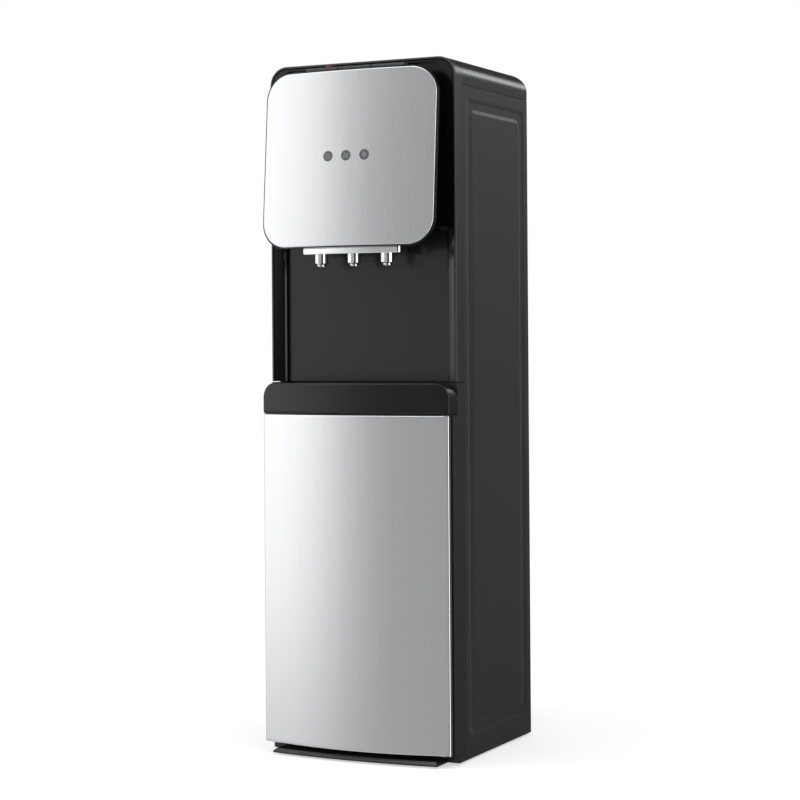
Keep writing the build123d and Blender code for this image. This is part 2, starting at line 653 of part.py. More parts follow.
def lower_frame():
    body = front_prism(area(-HALF, HALF, BOTTOM, TRAY_TOP), FRONT, FRAME_BACK)
    rim_low = DOOR_BOTTOM - HINGE_GAP
    rim_high = DOOR_TOP + HINGE_GAP
    body += front_prism(area(-HALF, HALF, rim_low, rim_high), FRONT - RIM_REACH, FRONT)
    cut = area(-OPENING_HALF, OPENING_HALF, BOTTOM + SILL, DOOR_TOP + HINGE_GAP)
    body -= front_prism(cut, FRONT - RIM_REACH - SEAM, FRAME_BACK + SEAM)
    # The tray's basin passes over a shelf in the top rail.
    basin = BASIN_HALF + FIT
    shelf = TRAY_BOTTOM + BASIN_SHELF - FIT
    body -= block(-basin, basin, FRONT - SEAM, FRAME_BACK + SEAM, shelf, TRAY_TOP + SEAM)
    # Each cheek is a channel that is open at the back, solid only around the finger scoop.
    front = FRONT - RIM_REACH + FRAME_WALL
    solid_low = GRIP_Z - GRIP_LENGTH / 2 - FRAME_WALL
    solid_high = GRIP_Z + GRIP_LENGTH / 2 + FRAME_WALL
    x0 = OPENING_HALF + FRAME_WALL
    x1 = HALF - FRAME_WALL
    low = DOOR_BOTTOM + FRAME_WALL
    high = DOOR_TOP - FRAME_WALL
    body -= block(x0, x1, front, FRAME_BACK + SEAM, low, high)
    body -= block(-x1, -x0, front, FRAME_BACK + SEAM, low, solid_low)
    body -= block(-x1, -x0, front, FRAME_BACK + SEAM, solid_high, high)
    scoop = round_area(
        FRONT - RIM_REACH - GRIP_REAR, FRONT + GRIP_REAR,
        GRIP_Z - GRIP_LENGTH / 2, GRIP_Z + GRIP_LENGTH / 2, GRIP_REAR,
    )
    body -= side_prism(scoop, -HALF - SEAM, -HALF + GRIP_DEPTH)
    # Pocket for the door magnet.
    body -= block(
        -CATCH_X - CATCH_WIDTH / 2 - FIT, -CATCH_X + CATCH_WIDTH / 2 + FIT,
        FRONT - RIM_REACH - SEAM, FRONT - RIM_REACH + FRAME_WALL + SEAM,
        CATCH_Z - CATCH_HEIGHT / 2 - FIT, CATCH_Z + CATCH_HEIGHT / 2 + FIT,
    )
    return body


def door_magnet():
    front = DOOR_BACK + STRIKE_THICK + STRIKE_GAP
    x = -CATCH_X
    body = block(
        x - CATCH_WIDTH / 2, x + CATCH_WIDTH / 2, front, FRONT - RIM_REACH + FRAME_WALL,
        CATCH_Z - CATCH_HEIGHT / 2, CATCH_Z + CATCH_HEIGHT / 2,
    )
    wing = FRAME_WALL / 2
    back = FRONT - RIM_REACH + FRAME_WALL
    flange = block(
        x - CATCH_WIDTH / 2 - wing + FIT, x + CATCH_WIDTH / 2 + wing - FIT, back, back + wing,
        CATCH_Z - CATCH_HEIGHT / 2 - 2 * wing, CATCH_Z + CATCH_HEIGHT / 2 + 2 * wing,
    )
    return body + flange


def mid_shelf():
    low = SHELF_LOW
    front = INSIDE_FRONT
    shelf = block(-INSIDE, INSIDE, front, INSIDE_REAR, low, SHELF_TOP)
    for x in (-INSIDE, INSIDE - SHELF_SHEET):
        shelf += block(x, x + SHELF_SHEET, front, INSIDE_REAR, low, SHELF_TOP + SHELF_FLANGE)
    shelf += block(-INSIDE, INSIDE, INSIDE_REAR - SHELF_SHEET, INSIDE_REAR, low, SHELF_TOP + SHELF_FLANGE)
    shelf -= post(PROBE_X, PROBE_Y, low - SEAM, SHELF_TOP + SEAM, HOSE_RADIUS + FIT)
    return shelf


# Door and hinge

def hinge_plate(low):
    x1 = DOOR_HALF - SEAM
    front = PIN_Y - BOSS_RADIUS
    plate = block(x1 - HINGE_WIDTH, x1, front, FRONT, low, low + HINGE_PLATE)
    corners = plate.edges().filter_by(Axis.Z).group_by(Axis.Y)[0]
    plate = fillet(corners, PIN_INSET - SEAM - RUN)
    return plate - post(PIN_X, PIN_Y, low - SEAM, low + HINGE_PLATE + SEAM, PIN_RADIUS + RUN)


def hinge_pins():
    upper = post(PIN_X, PIN_Y, DOOR_TOP - PIN_GRIP, PLATE_TOP, PIN_RADIUS)
    lower = post(PIN_X, PIN_Y, PLATE_BOTTOM, DOOR_BOTTOM + PIN_GRIP, PIN_RADIUS)
    return group([upper, lower])


def hinge_bushes():
    bushes = []
    for low in (DOOR_BOTTOM + SKIN + FIT, DOOR_TOP - SKIN - FIT - PIN_GRIP):
        bush = post(PIN_X, PIN_Y, low, low + PIN_GRIP, BUSH_RADIUS)
        bushes.append(bush - post(PIN_X, PIN_Y, low - SEAM, low + PIN_GRIP + SEAM, PIN_RADIUS + RUN))
    return group(bushes)


def door_panel():
    pan = plan_prism(door_area(DOOR_HALF, DOOR_BACK, 0), DOOR_BOTTOM, DOOR_TOP)
    face = pan.faces().sort_by(Axis.Y)[0]
    pan = fillet(face.edges(), DOOR_ROUND)
    hollow = door_area(DOOR_HALF - SKIN, DOOR_BACK + SEAM, SKIN)
    pan -= plan_prism(hollow, DOOR_BOTTOM + SKIN, DOOR_TOP - SKIN)
    hole = PIN_RADIUS + FIT
    pan -= post(PIN_X, PIN_Y, DOOR_BOTTOM - SEAM, DOOR_BOTTOM + SKIN + SEAM, hole)
    return pan - post(PIN_X, PIN_Y, DOOR_TOP - SKIN - SEAM, DOOR_TOP + SEAM, hole)


def door_liner():
    low = DOOR_BOTTOM + SKIN + FIT
    high = DOOR_TOP - SKIN - FIT
    half = DOOR_HALF - SKIN - FIT
    setback = SKIN + FIT
    liner = plan_prism(door_area(half, DOOR_BACK, setback), low, high)
    room = half - LINER_BORDER
    hollow = door_area(room, DOOR_BACK + SEAM, setback + LINER_WALL)
    liner -= plan_prism(hollow, low + LINER_BORDER, high - LINER_BORDER)
    border = LINER_BORDER - LINER_RIB
    outer = area(-room - LINER_RIB, room + LINER_RIB, low + border, high - border)
    inner = area(-room, room, low + LINER_BORDER, high - LINER_BORDER)
    liner += front_prism(outer - inner, DOOR_BACK, DOOR_BACK + LINER_RIB_DEPTH)
    for z in (low, high - PIN_GRIP):
        boss = post(PIN_X, PIN_Y, z, z + PIN_GRIP, BOSS_RADIUS)
        liner += boss & plan_prism(door_area(half, DOOR_BACK + BOSS_RADIUS, setback), z, z + PIN_GRIP)
        liner -= post(PIN_X, PIN_Y, z - SEAM, z + PIN_GRIP, BUSH_RADIUS + RUN)
    return liner


def door_strike():
    x = -CATCH_X
    return block(
        x - CATCH_WIDTH / 2, x + CATCH_WIDTH / 2, DOOR_BACK, DOOR_BACK + STRIKE_THICK,
        CATCH_Z - CATCH_HEIGHT / 2, CATCH_Z + CATCH_HEIGHT / 2,
    )


# Drip tray

def tray_cavity(setback, half, back, low, high):
    edge = bow_y(half) + setback
    crown = bow_y(0) + setback
    return plan_prism(bowed_area(half, back, edge, crown), low, high)


def drip_tray():
    back = FRONT - SEAM
    bar = plan_prism(door_area(HALF, back, 0), TRAY_BOTTOM, TRAY_TOP)
    bar &= front_prism(arch(HALF, TRAY_BOTTOM, TRAY_TOP, TRAY_CORNER), FRONT - HEAD_REACH, back)
    bar = fillet(bar.faces().sort_by(Axis.Y)[0].edges(), TRAY_ROUND)
    basin_back = FRONT + ALCOVE_DEPTH - FIT
    floor = TRAY_BOTTOM + BASIN_SHELF
    bar += block(-BASIN_HALF, BASIN_HALF, back, basin_back, floor, TRAY_TOP)
    room = BASIN_HALF - BASIN_WALL
    bar -= tray_cavity(BAR_WALL, room, basin_back - BASIN_WALL, floor + BASIN_WALL, TRAY_TOP + SEAM)
    return bar


def grille_outline(inset):
    half = BASIN_HALF - BASIN_WALL - inset
    back = FRONT + ALCOVE_DEPTH - FIT - BASIN_WALL - inset
    return half, back, BAR_WALL + inset


def drip_grille():
    half, back, setback = grille_outline(FIT)
    high = TRAY_TOP - GRILLE_DROP
    low = high - GRILLE_THICK
    grille = tray_cavity(setback, half, back, low, high)
    count = int((half - GRILLE_MARGIN) / GRILLE_PITCH)
    slot_back = back - GRILLE_MARGIN
    for step in range(-count, count + 1):
        x = step * GRILLE_PITCH
        slot_front = bow_y(x) + setback + GRILLE_MARGIN
        slot = area(x - GRILLE_SLOT / 2, x + GRILLE_SLOT / 2, slot_front, slot_back)
        grille -= plan_prism(slot, low - SEAM, high + SEAM)
    # Four legs stand on the basin's floor.
    floor = TRAY_BOTTOM + BASIN_SHELF + BASIN_WALL
    for x in (-half + GRILLE_MARGIN / 2, half - GRILLE_MARGIN / 2):
        for y in (bow_y(half) + setback + GRILLE_MARGIN / 2, back - GRILLE_MARGIN / 2):
            grille += post(x, y, floor, high - SEAM, GRILLE_LEG)
    return grille


# Head

def head_panel():
    plate = panel_slab(0, CARRIER_BACK) - panel_slab(-PANEL_PLATE, CARRIER_BACK - PANEL_PLATE)
    face = plate.faces().sort_by(Axis.Z)[-1]
    plate = fillet(face.edges(), PANEL_ROUND)
    for x in LENSES_X:
        plate -= Pos(x, LENS_Y, 0) * Cylinder(LENS_RADIUS + LENS_FIT, PANEL_WIDTH)
    return on_panel(plate)


def indicator_lenses():
    plate = panel_slab(0, CARRIER_BACK) - panel_slab(-PANEL_PLATE, CARRIER_BACK - PANEL_PLATE)
    plugs = [Pos(x, LENS_Y, 0) * Cylinder(LENS_RADIUS, PANEL_WIDTH) for x in LENSES_X]
    return group(on_panel(plate & plug) for plug in plugs)


def panel_carrier():
    body = panel_slab(-PANEL_PLATE, CARRIER_BACK)
    for x in LENSES_X:
        body -= Pos(x, LENS_Y, 0) * Cylinder(LENS_RADIUS - CORE_WALL / 2, PANEL_WIDTH)
    pocket = Box(LAMP_WIDTH + 2 * FIT, LAMP_HEIGHT + 2 * FIT, 2 * LAMP_DEPTH)
    return on_panel(body - Pos(0, LENS_Y, CARRIER_BACK) * pocket)


def lamp_board():
    """Circuit board behind the lenses, in a pocket at the back of the carrier."""
    board = Pos(0, LENS_Y, CARRIER_BACK + LAMP_BOARD / 2) * Box(LAMP_WIDTH, LAMP_HEIGHT, LAMP_BOARD)
    for x in LENSES_X:
        board += Pos(x, LENS_Y, CARRIER_BACK + LAMP_DEPTH / 2) * Cylinder(LED_RADIUS, LAMP_DEPTH)
    return on_panel(board)


def behind_carrier(gap):
    """Everything in front of a plane behind the panel carrier."""
    size = PANEL_WIDTH * 2
    return on_panel(Pos(0, 0, size / 2 + CARRIER_BACK - gap) * Box(size, size, size))


def head_core():
    low = CORE_BOTTOM
    high = CORE_HIGH
    w = CORE_WALL
    outline = round_area(-CORE_HALF, CORE_HALF, low, high, CORE_ROUND)
    body = front_prism(outline, FRONT - HEAD_REACH, FIELD) - behind_carrier(0)
    room = area(-CORE_HALF + w, CORE_HALF - w, low + w, high - w)
    body -= front_prism(room, FRONT - HEAD_REACH, FIELD + SEAM) - behind_carrier(w)
    body += block(-CORE_HALF + w, CORE_HALF - w, FIELD - w, FIELD, low + w, CEILING + FASCIA_PLATE)
    for x in SPOUTS_X:
        half = BUTTON_WIDTH / 2 + FIT
        front = FRONT - BUTTON_FRONT - FIT
        back = FRONT - BUTTON_REAR + FIT
        body -= block(x - half, x + half, front, back, high - w - SEAM, high + SEAM)
        body -= post(x, SPOUT_Y, low - SEAM, low + w + SEAM, SPOUT_NECK + FIT)
        body += switch_shelf(x)
    return body


def switch_shelf(x):
    """A bracket on the core's back edge that carries one button switch."""
    high = SWITCH_TOP - SWITCH_SIZE
    half = SWITCH_SIZE
    front = BUTTON_Y - SWITCH_SIZE
    shelf = block(x - half, x + half, front, FIELD, high - CORE_WALL, high)
    return shelf + block(x - half, x + half, FIELD - CORE_WALL, FIELD, high, CORE_HIGH - CORE_WALL)


def push_button(x):
    high = BUTTON_HIGH
    top_wall = CORE_HIGH
    half = BUTTON_WIDTH / 2
    front = FRONT - BUTTON_FRONT
    back = FRONT - BUTTON_REAR
    low = top_wall - CORE_WALL - BUTTON_SKIRT
    profile = Polyline((front, low), (back, low), (back, high), (front, high - BUTTON_ROUND), close=True)
    key = side_prism(make_face(profile), x - half, x + half)
    key = fillet(key.edges().filter_by(Axis.X).group_by(Axis.Z)[-2:], BUTTON_ROUND)
    key -= block(
        x - half + CORE_WALL, x + half - CORE_WALL, front + CORE_WALL, back - CORE_WALL,
        low - SEAM, high - BUTTON_ROUND - CORE_WALL,
    )
    lip = top_wall - CORE_WALL - FIT
    for side in (-1, 1):
        outer = x + side * (half + BUTTON_FLANGE / 2)
        inner = x + side * (half - CORE_WALL)
        key += block(min(outer, inner), max(outer, inner), front, back, low, lip)
    key += post(x, BUTTON_Y, STEM_BOTTOM, high - BUTTON_ROUND - CORE_WALL, STEM_RADIUS)
    return key


def button_slope(y):
    """Height of the buttons' sloping tops at a depth."""
    share = (y - FRONT + BUTTON_FRONT) / (BUTTON_FRONT - BUTTON_REAR)
    return BUTTON_HIGH - BUTTON_ROUND * (1 - share)


def hot_button(x):
    """The hot button has a slot in which its child lock slides."""
    left = x + LOCK_X - LOCK_STEM / 2 - FIT
    right = x + LOCK_X + LOCK_STEM / 2 + LOCK_TRAVEL + FIT
    depth = LOCK_STEM / 2 + FIT
    low = BUTTON_HIGH - BUTTON_ROUND - CORE_WALL
    return push_button(x) - block(left, right, BUTTON_Y - depth, BUTTON_Y + depth, low - SEAM, TOP)


def child_lock(x):
    """A small tab over the slot, with a stem and a foot below the button's top wall."""
    front = BUTTON_Y - LOCK_DEPTH / 2
    back = BUTTON_Y + LOCK_DEPTH / 2
    profile = Polyline(
        (front, button_slope(front) + FIT), (back, button_slope(back) + FIT),
        (back, button_slope(back) + LOCK_RISE), (front, button_slope(front) + LOCK_RISE), close=True,
    )
    half = LOCK_WIDTH / 2
    tab = side_prism(make_face(profile), x + LOCK_X - half, x + LOCK_X + half)
    tab = fillet(tab.faces().sort_by(Axis.Z)[-1].edges(), LOCK_ROUND)
    under = BUTTON_HIGH - BUTTON_ROUND - CORE_WALL - FIT
    stem = LOCK_STEM / 2
    tab += block(
        x + LOCK_X - stem, x + LOCK_X + stem, BUTTON_Y - stem, BUTTON_Y + stem,
        under, button_slope(BUTTON_Y) + LOCK_RISE / 2,
    )
    return tab + block(
        x + LOCK_X - LOCK_STEM, x + LOCK_X + LOCK_STEM, BUTTON_Y - LOCK_STEM, BUTTON_Y + LOCK_STEM,
        under - LOCK_FOOT, under,
    )


def button_switches():
    switches = []
    half = SWITCH_SIZE / 2
    for x in SPOUTS_X:
        square = area(x - half, x + half, BUTTON_Y - half, BUTTON_Y + half)
        body = plan_prism(square, SWITCH_TOP - SWITCH_SIZE, SWITCH_TOP - 2 * FIT)
        switches.append(body + post(x, BUTTON_Y, SWITCH_TOP - SWITCH_SIZE, SWITCH_TOP, STEM_RADIUS / 2))
    return group(switches)


def spout_bar():
    high = CORE_BOTTOM
    outline = round_area(-BAR_HALF, BAR_HALF, FRONT - BAR_FRONT, FRONT - BAR_REAR, BAR_ROUND)
    bar = plan_prism(outline, high - BAR_HEIGHT, high)
    bar = fillet(bar.faces().sort_by(Axis.Z)[0].edges(), PANEL_ROUND)
    for x in SPOUTS_X:
        bar -= post(x, SPOUT_Y, high - BAR_HEIGHT - SEAM, high + SEAM, SPOUT_NECK + FIT)
    return bar


def spout(x):
    top = CORE_BOTTOM - BAR_HEIGHT
    low = top - SPOUT_DROP
    neck_top = CORE_BOTTOM + CORE_WALL + FIT
    outline = Polyline(
        (SPOUT_BORE, low), (SPOUT_TIP, low), (SPOUT_RADIUS, low + SPOUT_TAPER), (SPOUT_RADIUS, top),
        (SPOUT_NECK, top), (SPOUT_NECK, neck_top), (SPOUT_BORE, neck_top), close=True,
    )
    face = make_face(Plane.XZ * outline)
    return Pos(x, SPOUT_Y, 0) * revolve(face, Axis.Z)


def tap_valve(x):
    """A small solenoid valve over one spout, with its inlet to the rear."""
    low = CORE_BOTTOM + CORE_WALL + FIT
    half = VALVE_SIDE / 2
    high = VALVE_PORT + half
    body = block(x - half, x + half, SPOUT_Y - half, SPOUT_Y + half, low, high)
    body += post(x, SPOUT_Y, high, high + VALVE_COIL, VALVE_COIL_RADIUS)
    body += bar_y(x, VALVE_PORT, SPOUT_Y + half - SEAM, VALVE_REAR, PORT_RADIUS)
    return body


# Cooling, heating and water

def can(x, y, low, height, radius, dome):
    body = post(x, y, low, low + height, radius)
    rims = body.edges().filter_by(GeomType.CIRCLE)
    return fillet(rims, dome)


def compressor():
    low = SHELF_TOP + GROMMET_HEIGHT
    body = can(COMPRESSOR_X, COMPRESSOR_Y, low, COMPRESSOR_HEIGHT, COMPRESSOR_RADIUS, COMPRESSOR_RADIUS / 3)
    s = COMPRESSOR_SHELL
    body -= can(
        COMPRESSOR_X, COMPRESSOR_Y, low + s, COMPRESSOR_HEIGHT - 2 * s, COMPRESSOR_RADIUS - s,
        COMPRESSOR_RADIUS / 3 - s,
    )
    reach = GROMMET_REACH + GROMMET_RADIUS
    plate = Pos(COMPRESSOR_X, COMPRESSOR_Y) * RectangleRounded(2 * reach, 2 * reach, GROMMET_RADIUS)
    plate -= Pos(COMPRESSOR_X, COMPRESSOR_Y) * Circle(COMPRESSOR_RADIUS / 2)
    return body + plan_prism(plate, low, low + FOOT_PLATE)


def compressor_grommets():
    low = SHELF_TOP
    grommets = []
    for x in (-GROMMET_REACH, GROMMET_REACH):
        for y in (-GROMMET_REACH, GROMMET_REACH):
            place = (COMPRESSOR_X + x, COMPRESSOR_Y + y)
            grommets.append(post(*place, low, low + GROMMET_HEIGHT, GROMMET_RADIUS))
    return group(grommets)


def tank_tray():
    low = DECK_LOW
    front = DECK_FRONT
    deck = block(-INSIDE, INSIDE, front, INSIDE_REAR, low, DECK_TOP)
    for x in (-INSIDE, INSIDE - SHELF_SHEET):
        deck += block(x, x + SHELF_SHEET, front, INSIDE_REAR, low, DECK_TOP + SHELF_FLANGE)
    return deck


def port_front(radius, offset):
    """How far in front of a tank's axis its wall lies at a sideways offset."""
    return math.sqrt(radius ** 2 - offset ** 2)


def tank(x, y, low, height, radius):
    body = can(x, y, low, height, radius, radius / 6)
    w = TANK_WALL
    return body - can(x, y, low + w, height - 2 * w, radius - w, radius / 6 - w)


def cold_tank():
    body = tank(COLD_X, COLD_Y, TANK_LOW, COLD_HEIGHT, COLD_RADIUS)
    for offset, rise in COLD_PORTS:
        start = COLD_Y - port_front(COLD_RADIUS, offset) + TANK_WALL / 2
        body += bar_y(COLD_X + offset, DECK_TOP + rise, cold_port_end(offset), start, PORT_RADIUS)
    return body


def jacket(x, y, radius, height, foam, gap):
    low = DECK_TOP
    high = low + FOAM_FLOOR + height + FOAM_FLOOR
    shell = can(x, y, low, high - low, radius + foam, foam / 2)
    return shell - post(x, y, low + FOAM_FLOOR, high - FOAM_FLOOR + FIT, radius + gap)


def cold_tank_jacket():
    body = jacket(COLD_X, COLD_Y, COLD_RADIUS, COLD_HEIGHT, COLD_FOAM, FIT)
    for offset, rise in COLD_PORTS:
        front = COLD_Y - COLD_RADIUS - 2 * COLD_FOAM
        body -= bar_y(COLD_X + offset, DECK_TOP + rise, front, COLD_Y, PORT_RADIUS + FIT)
    return body


def hot_tank():
    body = tank(HOT_X, HOT_Y, TANK_LOW, HOT_HEIGHT, HOT_RADIUS)
    start = HOT_Y - HOT_RADIUS + TANK_WALL / 2
    body += bar_y(HOT_X, DECK_TOP + HOT_PORT_RISE, HOT_PORT_END, start, PORT_RADIUS)
    start = HOT_Y + HOT_RADIUS - TANK_WALL / 2
    return body + bar_y(DRAIN_X, DRAIN_Z, start, REAR - DRAIN_REACH + DRAIN_LAP, DRAIN_BORE - FIT)


def heater_band():
    low = DRAIN_Z + DRAIN_BORE + FIT
    band = post(HOT_X, HOT_Y, low, low + HEATER_HEIGHT, HOT_RADIUS + HEATER_THICK)
    return band - post(HOT_X, HOT_Y, low - SEAM, low + HEATER_HEIGHT + SEAM, HOT_RADIUS + RUN)


def hot_tank_jacket():
    body = jacket(HOT_X, HOT_Y, HOT_RADIUS, HOT_HEIGHT, HOT_FOAM, HEATER_THICK + FIT)
    front = HOT_Y - HOT_RADIUS - 2 * HOT_FOAM
    body -= bar_y(HOT_X, DECK_TOP + HOT_PORT_RISE, front, HOT_Y, PORT_RADIUS + FIT)
    rear = HOT_Y + HOT_RADIUS + 2 * HOT_FOAM
    return body - bar_y(DRAIN_X, DRAIN_Z, HOT_Y, rear, DRAIN_BORE)


def cold_port_end(offset):
    """The free end of a cold tank port at a sideways offset."""
    return COLD_Y - port_front(COLD_RADIUS + COLD_FOAM, offset) - PORT_REACH


def cold_tube():
    x = COLD_X + COLD_PORT_X
    y = cold_port_end(COLD_PORT_X)
    z = DECK_TOP + COLD_PORT_RISE
    points = [
        (x, y, z), (x, TUBE_TURN_Y, z), (SPOUTS_X[2], TUBE_TURN_Y - 2 * TUBE_BEND, VALVE_PORT),
        (SPOUTS_X[2], VALVE_REAR, VALVE_PORT),
    ]
    return tube(points, TUBE_RADIUS, TUBE_BEND / 2)


def ambient_tube():
    x = COLD_X + AMBIENT_PORT_X
    y = cold_port_end(AMBIENT_PORT_X)
    z = DECK_TOP + AMBIENT_PORT_RISE
    turn = TUBE_TURN_Y + TUBE_BEND / 2
    points = [
        (x, y, z),
        (x, turn, z),
        (SPOUTS_X[1], turn - TUBE_BEND, VALVE_PORT),
        (SPOUTS_X[1], VALVE_REAR, VALVE_PORT),
    ]
    return tube(points, TUBE_RADIUS, TUBE_BEND / 2)


def hot_tube():
    z = DECK_TOP + HOT_PORT_RISE
    points = [
        (HOT_X, HOT_PORT_END, z), (HOT_X, TUBE_TURN_Y, z),
        (SPOUTS_X[0], TUBE_TURN_Y - 2 * TUBE_BEND, VALVE_PORT), (SPOUTS_X[0], VALVE_REAR, VALVE_PORT),
    ]
    return tube(points, TUBE_RADIUS, TUBE_BEND / 2)


def water_pump():
    half = PUMP_WIDTH / 2
    top = SHELF_TOP + PUMP_HEIGHT
    body = block(PUMP_X - half, PUMP_X + half, PUMP_REAR - PUMP_LENGTH, PUMP_REAR, SHELF_TOP, top)
    body = fillet(body.edges().filter_by(Axis.Y).group_by(Axis.Z)[-1], PUMP_HEIGHT / 4)
    body += post(PUMP_X, FEED_Y, top - SEAM, top + PORT_REACH, PORT_RADIUS)
    z = SHELF_TOP + PUMP_PORT
    return body + bar_y(PROBE_X, z, PUMP_REAR - SEAM, PUMP_REAR + PORT_REACH, PORT_RADIUS)


def feed_tube():
    y = cold_port_end(FEED_PORT_X)
    z = DECK_TOP + FEED_PORT_RISE
    low = SHELF_TOP + PUMP_HEIGHT + PORT_REACH
    return tube([(PUMP_X, y, z), (PUMP_X, FEED_Y, z), (PUMP_X, FEED_Y, low)], TUBE_RADIUS, TUBE_BEND)


def bottle_probe():
    low = BOTTOM + PROBE_BOTTOM
    body = post(PROBE_X, PROBE_Y, low, COLLAR_LOW + COLLAR_HEIGHT, PROBE_RADIUS)
    cap = post(PROBE_X, PROBE_Y, COLLAR_LOW, COLLAR_LOW + COLLAR_HEIGHT, COLLAR_RADIUS)
    body += chamfer(cap.edges().group_by(Axis.Z)[-1], COLLAR_HEIGHT / 4)
    body -= post(PROBE_X, PROBE_Y, low - SEAM, COLLAR_LOW, PROBE_RADIUS - TANK_WALL)
    slot = PROBE_RADIUS / 3
    for z in (low + PROBE_RADIUS, low + 3 * PROBE_RADIUS):
        body -= block(
            PROBE_X - PROBE_RADIUS, PROBE_X + PROBE_RADIUS, PROBE_Y - slot, PROBE_Y + slot,
            z, z + PROBE_RADIUS,
        )
    return body


def probe_holder():
    rings = []
    for high in (COLLAR_LOW, COLLAR_LOW - PROBE_LENGTH / 2):
        low = high - HOLDER_HEIGHT
        outline = Pos(PROBE_X, PROBE_Y) * Circle(PROBE_RADIUS + 2 * CORE_WALL)
        outline += area(PROBE_X - PROBE_RADIUS, PROBE_X + PROBE_RADIUS, PROBE_Y, REAR - SHEET)
        outline -= Pos(PROBE_X, PROBE_Y) * Circle(PROBE_RADIUS + FIT)
        rings.append(plan_prism(outline, low, high))
    return group(rings)


def probe_hose():
    z = SHELF_TOP + PUMP_PORT
    x = PROBE_X
    start = COLLAR_LOW + COLLAR_HEIGHT
    way = [(x, PROBE_Y, start), (x, PROBE_Y, z), (x, PUMP_REAR + PORT_REACH, z)]
    return tube(way, HOSE_RADIUS, TUBE_BEND)


def control_board():
    """Circuit board on four spacers behind the fascia."""
    plate_back = FIELD + FASCIA_PLATE
    y = plate_back + BOARD_SPACER
    x0 = CORE_HALF
    x1 = x0 + BOARD_WIDTH
    z1 = TOP - BOARD_DROP
    z0 = z1 - BOARD_HEIGHT
    board = block(x0, x1, y, y + BOARD_THICK, z0, z1)
    for x in (x0 + BOARD_SPACER, x1 - BOARD_SPACER):
        for z in (z0 + BOARD_SPACER, z1 - BOARD_SPACER):
            board += bar_y(x, z, plate_back, y, BOARD_SPACER / 2)
    face = y + BOARD_THICK
    left = x0 + BOARD_MARGIN
    low = z0 + 2 * BOARD_MARGIN
    high = low + TRANSFORMER_HEIGHT
    board += block(left, left + TRANSFORMER_WIDTH, face, face + TRANSFORMER_DEPTH, low, high)
    low = high + BOARD_MARGIN
    high = low + RELAY_HEIGHT
    for left in (x0 + BOARD_MARGIN, x0 + BOARD_MARGIN / 2 + 2 * RELAY_WIDTH):
        board += block(left, left + RELAY_WIDTH, face, face + RELAY_DEPTH, low, high)
    return board


# Rear fittings

def condenser_coil():
    """One tube that runs to and fro across the rear."""
    points = []
    for row in range(COIL_PASSES):
        z = BOTTOM + COIL_LOW + row * COIL_PITCH
        side = -COIL_HALF if row % 2 == 0 else COIL_HALF
        points.append((side, COIL_Y, z))
        points.append((-side, COIL_Y, z))
    return tube(points, COIL_RADIUS, COIL_PITCH / 2 - COIL_RADIUS)


def condenser_wires():
    wires = []
    low = BOTTOM + COIL_LOW - COIL_PITCH / 4
    high = BOTTOM + COIL_LOW + (COIL_PASSES - 1) * COIL_PITCH + COIL_PITCH / 4
    reach = COIL_HALF - COIL_PITCH / 2
    count = int(reach / WIRE_PITCH)
    half = WIRE_SIDE / 2
    for step in range(-count, count + 1):
        x = step * WIRE_PITCH
        for y in (COIL_Y - COIL_RADIUS - WIRE_SIDE, COIL_Y + COIL_RADIUS):
            wires.append(block(x - half, x + half, y, y + WIRE_SIDE, low, high))
    return group(wires)


def condenser_clips():
    clips = []
    half = CLIP_SIDE / 2
    x = (int((COIL_HALF - COIL_PITCH / 2) / WIRE_PITCH) - 0.5) * WIRE_PITCH
    for side in (-x, x):
        for row in (1, COIL_PASSES - 2):
            z = BOTTOM + COIL_LOW + row * COIL_PITCH
            clip = block(side - half, side + half, REAR, COIL_Y, z - CLIP_SIDE, z + CLIP_SIDE)
            groove = Pos(side, COIL_Y, z) * Rot(0, 90, 0) * Cylinder(COIL_RADIUS + RUN, 2 * CLIP_SIDE)
            clips.append(clip - groove)
    return group(clips)


def switch_housing():
    w = SWITCH_BODY_HALF
    h = SWITCH_BODY_RISE
    body = block(SWITCH_X - w, SWITCH_X + w, REAR - SWITCH_BODY_DEPTH, REAR, SWITCH_Z - h, SWITCH_Z + h)
    rim = 2 * BEZEL_THICK
    bezel = round_area(SWITCH_X - w - rim, SWITCH_X + w + rim, SWITCH_Z - h - rim, SWITCH_Z + h + rim, rim)
    body += front_prism(bezel, REAR, REAR + BEZEL_THICK)
    for x in ROCKERS_X:
        half = ROCKER_WIDTH / 2 + FIT
        long = ROCKER_LENGTH / 2 + 2 * FIT
        opening = area(x - half, x + half, SWITCH_Z - long, SWITCH_Z + long)
        body -= front_prism(opening, REAR - POCKET_DEPTH, REAR + 2 * BEZEL_THICK)
        pin = Pos(x, ROCKER_AXIS_Y, SWITCH_Z) * Rot(0, 90, 0)
        body -= pin * Cylinder(TRUNNION_RADIUS + RUN, ROCKER_WIDTH + 4 * TRUNNION_RADIUS)
    return body


def rocker(x):
    half = ROCKER_LENGTH / 2 - FIT
    rise = half * math.tan(math.radians(ROCKER_TILT))
    face = ROCKER_FACE
    profile = Polyline((-ROCKER_HEEL, -half / 2), (face + rise, -half), (face, 0), (face + rise, half),
                       (-ROCKER_HEEL, half / 2), close=True)
    body = side_prism(make_face(profile), -ROCKER_WIDTH / 2, ROCKER_WIDTH / 2)
    body += Rot(0, 90, 0) * Cylinder(TRUNNION_RADIUS, ROCKER_WIDTH + 3 * TRUNNION_RADIUS)
    return Pos(x, ROCKER_AXIS_Y, SWITCH_Z) * Rot(ROCKER_TILT, 0, 0) * body


